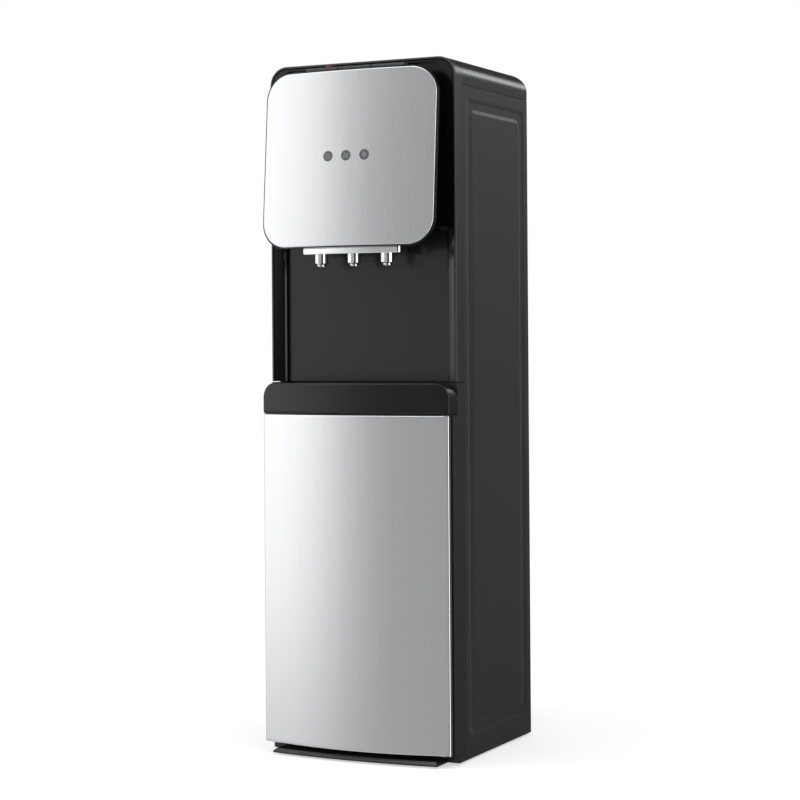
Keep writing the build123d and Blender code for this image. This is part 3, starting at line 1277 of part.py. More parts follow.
def drain_spout():
    z = DRAIN_Z
    flange = DRAIN_RADIUS + 3 * BEZEL_THICK
    body = bar_y(DRAIN_X, z, REAR - DRAIN_REACH, REAR + DRAIN_REACH, DRAIN_RADIUS)
    body += bar_y(DRAIN_X, z, REAR, REAR + BEZEL_THICK, flange)
    return body - bar_y(DRAIN_X, z, REAR - DRAIN_REACH - SEAM, REAR + DRAIN_REACH + SEAM, DRAIN_BORE)


def drain_cap():
    z = DRAIN_Z
    low = REAR + BEZEL_THICK + FIT
    high = REAR + DRAIN_REACH + BEZEL_THICK
    body = bar_y(DRAIN_X, z, low, high, DRAIN_RADIUS + 2 * BEZEL_THICK)
    for step in range(CAP_GRIPS):
        angle = 2 * math.pi * step / CAP_GRIPS
        reach = DRAIN_RADIUS + 2 * BEZEL_THICK + BEZEL_THICK / 2
        groove = bar_y(
            DRAIN_X + reach * math.cos(angle), z + reach * math.sin(angle),
            low - SEAM, high + SEAM, BEZEL_THICK,
        )
        body -= groove
    return body - bar_y(DRAIN_X, z, low - SEAM, REAR + DRAIN_REACH + RUN, DRAIN_RADIUS + FIT)


def cable_gland():
    z = BOTTOM + GLAND_RISE
    body = bar_y(GLAND_X, z, REAR, REAR + 2 * BEZEL_THICK, GLAND_RADIUS)
    body += bar_y(GLAND_X, z, REAR - GLAND_DEPTH, REAR, GLAND_NECK)
    body = chamfer(body.edges().group_by(Axis.Y)[-1], BEZEL_THICK)
    return body - bar_y(GLAND_X, z, REAR - GLAND_DEPTH - SEAM, REAR + 3 * BEZEL_THICK, GLAND_BORE)


# Write the pieces

right_panel = right_side_panel()
save("base_pan", base_pan())
save("rubber_feet", rubber_feet())
save("plinth_lip", plinth_lip())
save("right_side_panel", right_panel)
save("left_side_panel", mirror(right_panel, about=Plane.YZ))
save("rear_panel", rear_panel())
save("top_cover", top_cover())
save("front_arch", front_arch())
save("fascia", fascia())
save("alcove_panel", alcove_panel())
save("lower_frame", lower_frame())
save("mid_shelf", mid_shelf())
save("door_magnet", door_magnet())
save("hinge_plates", group([hinge_plate(DOOR_TOP + HINGE_GAP), hinge_plate(PLATE_BOTTOM)]))
save("hinge_pins", hinge_pins())
save("hinge_bushes", hinge_bushes())
save("door_panel", door_panel())
save("door_liner", door_liner())
save("door_strike", door_strike())
save("drip_tray", drip_tray())
save("drip_grille", drip_grille())
save("head_panel", head_panel())
save("indicator_lenses", indicator_lenses())
save("panel_carrier", panel_carrier())
save("lamp_board", lamp_board())
save("head_core", head_core())
save("button_switches", button_switches())
save("spout_bar", spout_bar())
save("spouts", group(spout(x) for x in SPOUTS_X))
save("tap_valves", group(tap_valve(x) for x in SPOUTS_X))
save("hot_button", hot_button(SPOUTS_X[0]))
save("ambient_button", push_button(SPOUTS_X[1]))
save("cold_button", push_button(SPOUTS_X[2]))
save("child_lock", child_lock(SPOUTS_X[0]))
save("compressor", compressor())
save("compressor_grommets", compressor_grommets())
save("tank_tray", tank_tray())
save("cold_tank", cold_tank())
save("cold_tank_jacket", cold_tank_jacket())
save("hot_tank", hot_tank())
save("heater_band", heater_band())
save("hot_tank_jacket", hot_tank_jacket())
save("cold_tube", cold_tube())
save("ambient_tube", ambient_tube())
save("hot_tube", hot_tube())
save("feed_tube", feed_tube())
save("water_pump", water_pump())
save("bottle_probe", bottle_probe())
save("probe_holder", probe_holder())
save("probe_hose", probe_hose())
save("control_board", control_board())
save("condenser_coil", condenser_coil())
save("condenser_wires", condenser_wires())
save("condenser_clips", condenser_clips())
save("switch_housing", switch_housing())
save("heat_rocker", rocker(ROCKERS_X[0]))
save("cool_rocker", rocker(ROCKERS_X[1]))
save("drain_spout", drain_spout())
save("drain_cap", drain_cap())
save("cable_gland", cable_gland())
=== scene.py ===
# %% [markdown]
# # A bottom-loading water dispenser
#
# The pieces of this dispenser were modelled to size elsewhere and arrive here as a fixed frame.
# This lesson dresses them: first the camera and the studio, then one finish after another, and last
# the pieces that only the eye needs, such as a smoother door skin, screws and printed marks.

# %% Load the frame
import bpy
import bmesh
import math
from mathutils import Matrix, Vector


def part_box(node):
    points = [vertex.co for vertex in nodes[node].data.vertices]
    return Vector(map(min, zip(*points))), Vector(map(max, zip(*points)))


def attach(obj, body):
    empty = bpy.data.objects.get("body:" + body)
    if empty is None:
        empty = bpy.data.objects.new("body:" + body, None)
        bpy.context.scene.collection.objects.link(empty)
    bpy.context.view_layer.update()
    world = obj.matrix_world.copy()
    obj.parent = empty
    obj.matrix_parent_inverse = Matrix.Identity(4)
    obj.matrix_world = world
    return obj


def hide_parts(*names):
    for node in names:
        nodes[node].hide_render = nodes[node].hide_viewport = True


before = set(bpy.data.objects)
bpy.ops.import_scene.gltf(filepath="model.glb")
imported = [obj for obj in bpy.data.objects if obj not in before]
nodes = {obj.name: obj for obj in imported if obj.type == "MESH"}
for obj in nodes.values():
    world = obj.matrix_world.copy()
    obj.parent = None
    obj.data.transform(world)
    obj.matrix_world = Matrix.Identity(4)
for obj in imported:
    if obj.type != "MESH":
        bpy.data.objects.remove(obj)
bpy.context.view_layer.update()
MM = 0.001

# %% [markdown]
# ## The camera
#
# The photograph was taken with a long lens from the right, level with the middle of the cabinet.
# A camera in Blender can be aimed by a constraint, but a fitted place and turn are easier to trust:
# the verticals stay upright, because the camera is level and the picture is framed with a lens shift.

# %% Camera
CAMERA_PLACE = (1.43485, -2.91730, 0.62309)
CAMERA_TURN = math.radians(26.103)
CAMERA_ROLL = math.radians(0.397)
CAMERA_LENS = 94.86
SENSOR_WIDTH = 36
CAMERA_SHIFT = -0.0759

camera_data = bpy.data.cameras.new("camera")
camera_data.lens = CAMERA_LENS
camera_data.sensor_width = SENSOR_WIDTH
camera_data.shift_y = CAMERA_SHIFT
camera = bpy.data.objects.new("camera", camera_data)
camera.location = CAMERA_PLACE
camera.rotation_euler = (math.radians(90), CAMERA_ROLL, CAMERA_TURN)
bpy.context.scene.collection.objects.link(camera)
bpy.context.scene.camera = camera
bpy.context.scene.view_settings.view_transform = "Standard"
print("camera", CAMERA_LENS, "mm")

# %% [markdown]
# ## Shader sums
#
# A procedural finish is a small sum over the surface: a noise here, a mask there. Wiring such sums by
# hand is slow to read, so one class wraps a socket and lets Python's own operators add the Math nodes.
# Every other kind of node comes from one method, `node`, which sets its options before its sockets.


# %% Wires
class Wire:
    """A socket in a sum: each operator adds one Math node to its graph."""

    def __init__(self, graph, socket):
        self.graph = graph
        self.socket = socket

    def math(self, operation, *values):
        return self.graph.node("ShaderNodeMath", {"operation": operation}, dict(enumerate(values)))

    def __add__(self, other):
        return self.math("ADD", self, other)

    def __sub__(self, other):
        return self.math("SUBTRACT", self, other)

    def __rsub__(self, other):
        return self.math("SUBTRACT", other, self)

    def __mul__(self, other):
        return self.math("MULTIPLY", self, other)

    __radd__ = __add__
    __rmul__ = __mul__

    def step(self, low, high):
        """0 below low, 1 above high, smooth between."""
        settings = {"interpolation_type": "SMOOTHSTEP"}
        inputs = {"Value": self, "From Min": low, "From Max": high}
        return self.graph.node("ShaderNodeMapRange", settings, inputs)


# %% Graphs
class Graph:
    """A node tree that is built up node by node."""

    def __init__(self, tree):
        self.tree = tree

    def node(self, kind, settings=None, inputs=None, output=0):
        node = self.tree.nodes.new(kind)
        for key, value in (settings or {}).items():
            setattr(node, key, value)
        for key, value in (inputs or {}).items():
            self.join(node.inputs[key], value)
        return Wire(self, node.outputs[output])

    def join(self, socket, value):
        if isinstance(value, Wire):
            self.tree.links.new(value.socket, socket)
        else:
            socket.default_value = value


# %% A finish is a graph with a Principled shader
class Finish(Graph):
    """A material under construction."""

    def __init__(self, name, constants):
        self.material = bpy.data.materials.new(name)
        self.material.use_nodes = True
        super().__init__(self.material.node_tree)
        self.shader = self.tree.nodes["Principled BSDF"]
        for label, value in constants.items():
            self.shader.inputs[label].default_value = value

    def feed(self, label, value):
        self.join(self.shader.inputs[label], value)

    def place(self, scale=(1, 1, 1)):
        """Object coordinates, stretched."""
        spot = self.node("ShaderNodeTexCoord", output="Object")
        return self.node("ShaderNodeMapping", None, {"Vector": spot, "Scale": scale})

    def axis(self, letter):
        """One coordinate of the surface, in metres."""
        spot = self.node("ShaderNodeTexCoord", output="Object")
        return self.node("ShaderNodeSeparateXYZ", None, {"Vector": spot}, output=letter)

    def noise(self, scale, detail=2.0, stretch=(1, 1, 1)):
        inputs = {"Vector": self.place(stretch), "Scale": scale, "Detail": detail}
        return self.node("ShaderNodeTexNoise", None, inputs)

    def cells(self, scale):
        inputs = {"Vector": self.place(), "Scale": scale}
        return self.node("ShaderNodeTexVoronoi", {"feature": "SMOOTH_F1"}, inputs)

    def blend(self, share, first, second):
        """A colour between two colours."""
        inputs = {0: share, 6: (*first, 1), 7: (*second, 1)}
        return self.node("ShaderNodeMix", {"data_type": "RGBA"}, inputs, output=2)

    def bump(self, height, distance, strength):
        inputs = {"Height": height, "Distance": distance, "Strength": strength}
        self.feed("Normal", self.node("ShaderNodeBump", None, inputs))


# %% Tints and dressing
def lighter(colour, factor):
    """A colour times a factor."""
    return tuple(min(1, c * factor) for c in colour)


def dress(finish, *names):
    """Give CAD nodes a finish."""
    for name in names:
        nodes[name].material_slots[0].material = finish.material
    print(finish.material.name, "on", ", ".join(names))


# %% [markdown]
# ## The world
#
# The dispenser stands in front of plain white. A world colour of 1 would be white to the eye, but it would
# also flood the object with light. The Light Path node tells the two apart: rays from the camera, and rays
# mirrored or refracted by a piece, see white, while all other rays bring only the ambient light.

# %% World
AMBIENT = 0.42

world = bpy.data.worlds.new("studio")
bpy.context.scene.world = world
world.use_nodes = True
sky = Graph(world.node_tree)
backdrop = world.node_tree.nodes["Background"]
backdrop.inputs["Color"].default_value = (1, 1, 1, 1)
only_light = 1
for kind in ("Camera", "Glossy", "Transmission"):
    only_light = (1 - sky.node("ShaderNodeLightPath", output=f"Is {kind} Ray")) * only_light
sky.join(backdrop.inputs["Strength"], 1 - only_light * (1 - AMBIENT))
print("world: white to the eye,", AMBIENT, "as light")


# %% [markdown]
# ## Soft boxes
#
# Three large lamps light the paint and the plastic: the main one on the left, one overhead, and a weak fill
# at the front right for the side panel. A lamp's energy grows with its area, so each box is given the
# brightness of its cloth, and the energy follows from its size.

# %% Soft boxes
MIDDLE = (0, 0, 0.55)


def soft_box(name, place, width, height, radiance):
    """A rectangular lamp of a given brightness, aimed at the middle of the cabinet."""
    lamp = bpy.data.lights.new(name, "AREA")
    lamp.shape = "RECTANGLE"
    lamp.size = width
    lamp.size_y = height
    lamp.energy = radiance * math.pi * width * height
    obj = bpy.data.objects.new(name, lamp)
    obj.location = place
    obj.rotation_euler = (Vector(MIDDLE) - Vector(place)).to_track_quat("-Z", "Y").to_euler()
    obj.visible_glossy = False
    bpy.context.scene.collection.objects.link(obj)
    print(name, "at", place)


soft_box("left_soft_box", (-2.35, -1.55, 0.95), width=1.7, height=2.6, radiance=1.45)
soft_box("top_soft_box", (0.2, -0.5, 2.9), width=1.8, height=1.8, radiance=1.25)
soft_box("front_fill", (0.95, -1.15, 0.85), width=0.5, height=1.2, radiance=0.55)

# %% [markdown]
# ## The light tent
#
# Metal and gloss show what they reflect. The studio has white cloth on the left, grey card in front and
# dark gaps between them, so the silver fronts run from white to an even grey. Each cloth could be a plane
# of its own, but planes hide one another and are slow to place. So one sphere stands for all of them. It
# glows by bearing and height, and only mirrored rays see it. A bearing of 0 is straight in front, and
# positive bearings lie to the right.

# %% Tent sphere
TENT_RADIUS = 5.0
TENT_CENTRE = 0.6


def new_object(name, mesh):
    """Turn a bmesh into an object in the scene."""
    data = bpy.data.meshes.new(name)
    mesh.to_mesh(data)
    mesh.free()
    obj = bpy.data.objects.new(name, data)
    bpy.context.scene.collection.objects.link(obj)
    return obj


tent_mesh = bmesh.new()
bmesh.ops.create_uvsphere(tent_mesh, u_segments=48, v_segments=24, radius=TENT_RADIUS)
bmesh.ops.translate(tent_mesh, verts=tent_mesh.verts, vec=(0, 0, TENT_CENTRE))
tent = new_object("light_tent", tent_mesh)
tent.visible_camera = False
tent.visible_diffuse = False
tent.visible_transmission = False
tent.visible_shadow = False
print("light tent of radius", TENT_RADIUS, "m")

# %% Bearing and height on the sphere
PAPER = {"Base Color": (0, 0, 0, 1), "Specular IOR Level": 0.0, "Emission Strength": 1.0}
paper = Finish("tent_paper", PAPER)
across = paper.axis("X")
level = paper.axis("Z") - TENT_CENTRE
bearing = across.math("ARCTAN2", across, 0 - paper.axis("Y"))
height = level.math("ARCSINE", level * (1 / TENT_RADIUS))
away = bearing.math("ABSOLUTE", bearing)


def degrees_step(wire, low, high):
    """A smooth step between two angles in degrees."""
    return wire.step(math.radians(low), math.radians(high))


def cloth(wire, start, full, fall, end):
    """1 from full to fall, 0 before start and after end."""
    return degrees_step(wire, start, full) * (1 - degrees_step(wire, fall, end))


def hang(glow, brightness, mask):
    """Hang a cloth of a given brightness before what is there."""
    return glow + (brightness - glow) * mask


# %% [markdown]
# ## The tent's cloths
#
# The cloths are hung one after another, and a later one covers an earlier one. The head panel leans back, so
# it mirrors what lies higher than what the door mirrors: from there on, the white on the left ends sooner and
# the card in front is darker. Each mask below is named for the cloth, and its angles are in degrees.

# %% White, grey and dark cloths
FRONT_GREY = 0.49
RAISED_LOSS = 0.07
SIDE_LOW = 0.12
SIDE_HIGH = 0.55
LEFT_WHITE = 1.65
LOW_SHARE = 0.42

raised = degrees_step(height, -3, 14)
front_card = FRONT_GREY - RAISED_LOSS * raised
side_card = SIDE_LOW + (SIDE_HIGH - SIDE_LOW) * degrees_step(height, -4, 30)
white_start = math.radians(-54) + math.radians(16) * raised
white_end = math.radians(-11) - math.radians(12) * raised
left_cloth = (1 - bearing.step(white_start, white_end)) * degrees_step(bearing, -98, -70)
left_white = LEFT_WHITE * (LOW_SHARE + (1 - LOW_SHARE) * degrees_step(height, -20, -8))
print("white on the left", LEFT_WHITE, "and grey in front", FRONT_GREY)

# %% Strips, gaps and the sheet overhead
GAP_DARK = 0.07
STRIP_WHITE = 2.6
BACK_WHITE = 1.0
HOOD_WHITE = 4.2
LOW_WHITE = 0.9
CEILING_WHITE = 1
TOP_WHITE = 2.6

beside = degrees_step(away, 88, 96)
right_gap = cloth(bearing, 20, 28, 54, 62)
left_gap = cloth(bearing, -172, -164, -100, -90)
right_strip = cloth(bearing, 58, 66, 98, 108)
back_sheet = degrees_step(away, 164, 176) * cloth(height, -20, -10, 12, 18)
back_gap = degrees_step(away, 163, 170) * cloth(height, 15, 20, 50, 60)
hood_strip = cloth(bearing, 150, 156, 163, 168) * cloth(height, 16, 21, 28, 32)
ground = 1 - degrees_step(height, -44, -32)
ceiling = degrees_step(height, 46, 60)
top_sheet = cloth(bearing, -75, -60, 0, 15) * cloth(height, 36, 44, 70, 78)

# %% Hang the cloths
glow = hang(front_card, side_card, beside)
glow = hang(glow, GAP_DARK, right_gap)
glow = hang(glow, GAP_DARK, left_gap)
glow = hang(glow, left_white, left_cloth)
glow = hang(glow, STRIP_WHITE, right_strip)
glow = hang(glow, BACK_WHITE, back_sheet)
glow = hang(glow, GAP_DARK, back_gap)
glow = hang(glow, HOOD_WHITE, hood_strip)
glow = hang(glow, LOW_WHITE, ground)
glow = hang(glow, CEILING_WHITE, ceiling)
glow = hang(glow, TOP_WHITE, top_sheet)
paper.feed("Emission Color", glow)
tent.data.materials.append(paper.material)
print("the tent's glow takes", len(paper.tree.nodes), "nodes")

# %% [markdown]
# ## The floor
#
# The floor is pale and fades into the white background by its alpha, so that the contact shadow stays but
# no horizon shows. Seen directly it is lifted to white. Its light on the object stays that of plain paint.

# %% Floor
FLOOR_REACH = 2.2
FLOOR_PALE = (0.93, 0.93, 0.93, 1)
FADE_START = 0.45
FADE_END = 1.25
FLOOR_LIFT = 0.55

floor_mesh = bmesh.new()
bmesh.ops.create_grid(floor_mesh, x_segments=1, y_segments=1, size=FLOOR_REACH)
floor = new_object("floor", floor_mesh)
floor.visible_glossy = False
floor_paint = Finish("pale_floor", {"Base Color": FLOOR_PALE, "Roughness": 0.9, "Specular IOR Level": 0.0})
seen_directly = floor_paint.node("ShaderNodeLightPath", output="Is Camera Ray")
floor_paint.feed("Emission Color", seen_directly * FLOOR_LIFT)
floor_paint.feed("Emission Strength", 1.0)
spot = floor_paint.node("ShaderNodeTexCoord", output="Object")
distance = floor_paint.node("ShaderNodeVectorMath", {"operation": "LENGTH"}, {0: spot}, output="Value")
floor_paint.feed("Alpha", 1 - distance.step(FADE_START, FADE_END))
floor.data.materials.append(floor_paint.material)
print("floor fades from", FADE_START, "to", FADE_END, "m")

# %% [markdown]
# ## Satin silver fronts
#
# The door and the head panel are thin steel with a satin finish: brushed so finely that no single line shows
# from a step away. The brush leaves upright hairlines, so a noise is squeezed across and stretched upwards,
# and moves the roughness and a very shallow bump. A second, wider noise leaves the faint streaks that the
# rolls press into the sheet. The rolled edges are polished, which a mask finds by how far the surface turns
# away from the front.

# %% Satin silver
SILVER = (0.66, 0.66, 0.67)
SILVER_ROUGHNESS = 0.28
HAIRLINE = (1400, 0, 5)
STREAK = (150, 0, 0.5)
HAIR_SHARE = 0.15
TURN_START = -0.90
TURN_END = -0.75
EDGE_POLISH = 0.14


def satin_silver(name, colour, roughness):
    finish = Finish(name, {"Metallic": 1.0})
    hairs = finish.noise(1.0, 3.0, HAIRLINE)
    streaks = finish.noise(1.0, 2.0, STREAK)
    clouds = finish.noise(5.0, 2.0)
    turned = finish.node("ShaderNodeNewGeometry", output="Normal")
    front = finish.node("ShaderNodeSeparateXYZ", None, {"Vector": turned}, output="Y")
    edge = front.step(TURN_START, TURN_END)
    satin = hairs * 0.06 + clouds * 0.04 + (roughness - 0.05)
    finish.feed("Roughness", satin - edge * EDGE_POLISH)
    tone = hairs * HAIR_SHARE + streaks * (1 - HAIR_SHARE)
    finish.feed("Base Color", finish.blend(tone, lighter(colour, 0.98), lighter(colour, 1.02)))
    finish.bump(hairs, 0.01 * MM, 0.08)
    return finish


door_silver = satin_silver("door_silver", SILVER, SILVER_ROUGHNESS)
dress(door_silver, "door_panel")
dress(satin_silver("head_silver", SILVER, SILVER_ROUGHNESS), "head_panel")

# %% [markdown]
# ## Painted steel
#
# The side panels are pre-painted sheet with a fine pebble grain, which keeps fingerprints from showing.
# Small cells and a finer noise make the grain, and a much larger noise lets the gloss drift a little, as it
# does on every rolled sheet. The same paint, less dark, covers the rear panel. A black enamel with a coarser
# grain is on the compressor, the condenser and the hinge plates.

# %% Painted steel
SHEET_GREY = (0.030, 0.030, 0.031)
REAR_GREY = (0.060, 0.060, 0.062)
BLACK_ENAMEL = (0.012, 0.012, 0.012)


def grained_paint(name, colour, roughness, grain, depth):
    finish = Finish(name, {"Specular IOR Level": 0.4})
    pebbles = finish.cells(grain)
    dust = finish.noise(grain * 2.3, 2.0)
    drift = finish.noise(3.0, 2.0)
    finish.feed("Base Color", finish.blend(drift, lighter(colour, 0.85), lighter(colour, 1.15)))
    finish.feed("Roughness", drift * 0.10 + dust * 0.06 + (roughness - 0.08))
    finish.bump(pebbles + dust * 0.4, depth, 0.6)
    return finish


dress(grained_paint("side_paint", SHEET_GREY, 0.38, 900, 0.04 * MM), "right_side_panel", "left_side_panel")
dress(grained_paint("rear_paint", REAR_GREY, 0.50, 700, 0.05 * MM), "rear_panel")
dress(grained_paint("black_enamel", BLACK_ENAMEL, 0.32, 300, 0.03 * MM),
      "compressor", "condenser_coil", "condenser_wires", "hinge_plates")

# %% [markdown]
# ## Moulded plastic
#
# Most of the dark pieces are moulded. A mould leaves a spark-eroded grain, finer than the paint's, and the
# gloss depends on the piece: the fascia behind the head is nearly black and shiny, the frame and hood are
# satin, the liner is dull. One function makes them all, and only the colour, the gloss and the grain differ.
# Low down, where shoes and mops reach, the gloss is scuffed.

# %% Moulded plastic
SCUFF_TOP = 30 * MM
SCUFF_STRETCH = (60, 60, 400)
SCUFF_DULL = 0.25


def moulded(name, colour, roughness, grain, depth, scuffed=False, specular=0.45):
    finish = Finish(name, {"Specular IOR Level": specular})
    erosion = finish.noise(grain, 3.0)
    drift = finish.noise(6.0, 2.0)
    gloss = drift * 0.08 + erosion * 0.08 + (roughness - 0.08)
    tone = finish.blend(drift, lighter(colour, 0.88), lighter(colour, 1.12))
    if scuffed:
        low = 1 - finish.axis("Z").step(0.0, SCUFF_TOP)
        scuff = low * finish.noise(1.0, 4.0, SCUFF_STRETCH).step(0.52, 0.66)
        gloss = gloss + scuff * SCUFF_DULL
    finish.feed("Base Color", tone)
    finish.feed("Roughness", gloss)
    finish.bump(erosion, depth, 0.5)
    return finish


# %% The colours of the mouldings
FRAME_BLACK = (0.020, 0.020, 0.021)
FASCIA_BLACK = (0.004, 0.004, 0.0045)
ALCOVE_GREY = (0.012, 0.012, 0.0125)
TRAY_BLACK = (0.004, 0.004, 0.0043)
BUTTON_GREY = (0.075, 0.075, 0.078)
LINER_BLACK = (0.022, 0.022, 0.023)
NYLON_BLACK = (0.015, 0.015, 0.015)
MILKY_WHITE = (0.72, 0.72, 0.70)
LENS_GREY = (0.16, 0.16, 0.165)
SIGNAL_RED = (0.50, 0.018, 0.016)
LOCK_RED = (0.20, 0.025, 0.024)
SIGNAL_GREEN = (0.02, 0.25, 0.06)

# %% Mouldings outside and inside
dress(moulded("frame_plastic", FRAME_BLACK, 0.34, 2200, 0.03 * MM, scuffed=True), "lower_frame", "plinth_lip")
dress(moulded("arch_plastic", FRAME_BLACK, 0.30, 2200, 0.03 * MM, specular=0.7), "front_arch")
dress(moulded("hood_plastic", FRAME_BLACK, 0.24, 2200, 0.03 * MM), "top_cover")
fascia_plastic = moulded("fascia_plastic", FASCIA_BLACK, 0.18, 1500, 0.01 * MM)
dress(fascia_plastic, "fascia", "head_core", "panel_carrier")
dress(moulded("alcove_plastic", ALCOVE_GREY, 0.25, 2000, 0.02 * MM), "alcove_panel")
tray_plastic = moulded("tray_plastic", TRAY_BLACK, 0.30, 2000, 0.03 * MM, specular=0.36)
dress(tray_plastic, "drip_tray", "drip_grille")
dress(moulded("button_plastic", BUTTON_GREY, 0.42, 2200, 0.03 * MM),
      "cold_button", "ambient_button", "hot_button")
dress(moulded("lens_plastic", LENS_GREY, 0.22, 1500, 0.01 * MM), "indicator_lenses")
dress(moulded("liner_plastic", LINER_BLACK, 0.52, 1200, 0.06 * MM, scuffed=True), "door_liner", "base_pan")
dress(moulded("nylon_black", NYLON_BLACK, 0.50, 1200, 0.05 * MM),
      "hinge_bushes", "probe_holder", "condenser_clips", "cable_gland", "switch_housing", "door_magnet")
dress(moulded("milky_plastic", MILKY_WHITE, 0.34, 900, 0.03 * MM),
      "bottle_probe", "tap_valves", "water_pump", "drain_spout", "drain_cap")
dress(moulded("lock_red", LOCK_RED, 0.40, 1500, 0.02 * MM), "child_lock")
dress(moulded("rocker_red", SIGNAL_RED, 0.24, 1500, 0.01 * MM), "heat_rocker")
dress(moulded("rocker_green", SIGNAL_GREEN, 0.24, 1500, 0.01 * MM), "cool_rocker")

# %% [markdown]
# ## Chrome, steel, rubber, foam and tubing
#
# The tap bar and its spouts are chromed, so they need almost no texture, only a trace of polishing haze.
# The pieces inside are plainer, but a door that opens shows some of them: zinc-plated steel, a milky hose,
# black rubber, black foam and a green circuit board.

# %% Chrome and plain metals
CHROME = (0.80, 0.80, 0.81)
ZINC = (0.50, 0.50, 0.51)
STAINLESS = (0.60, 0.60, 0.61)


def polished(name, colour, roughness):
    finish = Finish(name, {"Metallic": 1.0, "Base Color": (*colour, 1)})
    haze = finish.noise(40.0, 4.0)
    finish.feed("Roughness", haze * 0.06 + roughness)
    finish.bump(finish.noise(700.0, 2.0), 0.01 * MM, 0.15)
    return finish


def plated(name, colour, roughness):
    finish = Finish(name, {"Metallic": 1.0})
    spangle = finish.cells(120)
    finish.feed("Base Color", finish.blend(spangle, lighter(colour, 0.85), lighter(colour, 1.1)))
    finish.feed("Roughness", spangle * 0.15 + roughness)
    return finish


chrome_trim = polished("chrome_trim", CHROME, 0.06)
dress(chrome_trim, "spout_bar", "spouts")
zinc = plated("zinc_plate", ZINC, 0.32)
dress(zinc, "mid_shelf", "tank_tray", "hinge_pins", "door_strike")
dress(plated("stainless", STAINLESS, 0.26), "cold_tank", "hot_tank", "heater_band")

# %% Rubber, foam, hose and board
RUBBER = (0.012, 0.012, 0.012)
FOAM = (0.030, 0.030, 0.032)
HOSE = (0.62, 0.63, 0.64)
BOARD_GREEN = (0.02, 0.12, 0.05)


def dull(name, colour, grain, depth):
    finish = Finish(name, {"Specular IOR Level": 0.25})
    pores = finish.cells(grain)
    finish.feed("Base Color", finish.blend(pores, lighter(colour, 0.8), lighter(colour, 1.1)))
    finish.feed("Roughness", pores * 0.15 + 0.7)
    finish.bump(pores, depth, 0.7)
    return finish


def milky_hose():
    finish = moulded("milky_hose", HOSE, 0.30, 600, 0.02 * MM)
    finish.shader.inputs["Subsurface Weight"].default_value = 0.3
    finish.shader.inputs["Subsurface Radius"].default_value = (4 * MM, 4 * MM, 4 * MM)
    return finish


dress(dull("foot_rubber", RUBBER, 900, 0.05 * MM), "rubber_feet", "compressor_grommets")
dress(dull("foam", FOAM, 350, 0.2 * MM), "cold_tank_jacket", "hot_tank_jacket")
dress(milky_hose(), "cold_tube", "ambient_tube", "hot_tube", "feed_tube", "probe_hose")
dress(moulded("circuit_board", BOARD_GREEN, 0.38, 300, 0.03 * MM),
      "control_board", "lamp_board", "button_switches")

# %% [markdown]
# ## Small pieces
#
# Some pieces are too small to matter for the mechanism, but the eye misses them: marks on the lamps, the
# buttons and the switches, and the screws of the rear panel. Each is drawn flat, in X and Y, with Z pointing
# out of the surface, and then stamped onto its face by a matrix. So a mark is designed once, and the face
# says where it goes: its middle and its direction are read from the triangles of the piece that carries it.

# %% Faces to draw on
SAME_WAY = 0.995
ANYWHERE = (-1, 1)
SHARP = math.radians(40)


def facing(origin, normal):
    """The matrix that lays a flat drawing onto a face."""
    out = Vector(normal).normalized()
    right = Vector((0, 0, 1)).cross(out).normalized()
    turn = Matrix((right, out.cross(right), out)).transposed()
    return Matrix.Translation(origin) @ turn.to_4x4()


def face_place(node, normal, x_range=ANYWHERE):
    """The matrix of one face of a CAD piece, found by its direction."""
    out = Vector(normal).normalized()
    middle = Vector()
    mean = Vector()
    total = 0
    for triangle in nodes[node].data.polygons:
        if triangle.normal.dot(out) > SAME_WAY and x_range[0] < triangle.center.x < x_range[1]:
            middle += triangle.center * triangle.area
            mean += triangle.normal * triangle.area
            total += triangle.area
    return facing(middle / total, mean)


# %% Stamps and pieces
def stamp(target, drawing, place):
    """Copy a flat drawing onto a face of the object."""
    data = bpy.data.meshes.new("stamp")
    drawing.to_mesh(data)
    data.transform(place)
    target.from_mesh(data)
    bpy.data.meshes.remove(data)


def add_piece(name, mesh, body, finish):
    """Turn a bmesh into a piece that rides on a body."""
    bmesh.ops.recalc_face_normals(mesh, faces=mesh.faces)
    for face in mesh.faces:
        face.smooth = True
    for edge in mesh.edges:
        edge.smooth = edge.calc_face_angle(math.pi) < SHARP
    obj = new_object(name, mesh)
    obj.data.materials.append(finish.material)
    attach(obj, body)
    print(name, "rides on", body, "with", len(obj.data.polygons), "faces")
    return obj


# %% [markdown]
# ## Lines, bows and raised shapes
#
# Three small tools draw every mark. A bar is a cube that is stretched along its line. A bow is a small
# rectangle, spun about the middle of its circle; for a whole ring the rectangle's face goes first, so that
# the two ends can merge. A raised face is extruded and then scaled, and a few of those make a screw's head.

# %% Drawing tools
MARK_LIFT = 0.15 * MM
MARK_LINE = 0.9 * MM


def bar(mesh, start, end, width=MARK_LINE):
    """A straight line, half sunk into its face."""
    run = Vector(end) - Vector(start)
    middle = (Vector(start) + Vector(end)) / 2
    turn = Matrix.Rotation(math.atan2(run.y, run.x), 4, "Z")
    shape = Matrix.Diagonal((run.length, width, MARK_LIFT, 1))
    bmesh.ops.create_cube(mesh, size=1, matrix=Matrix.Translation(middle.to_3d()) @ turn @ shape)


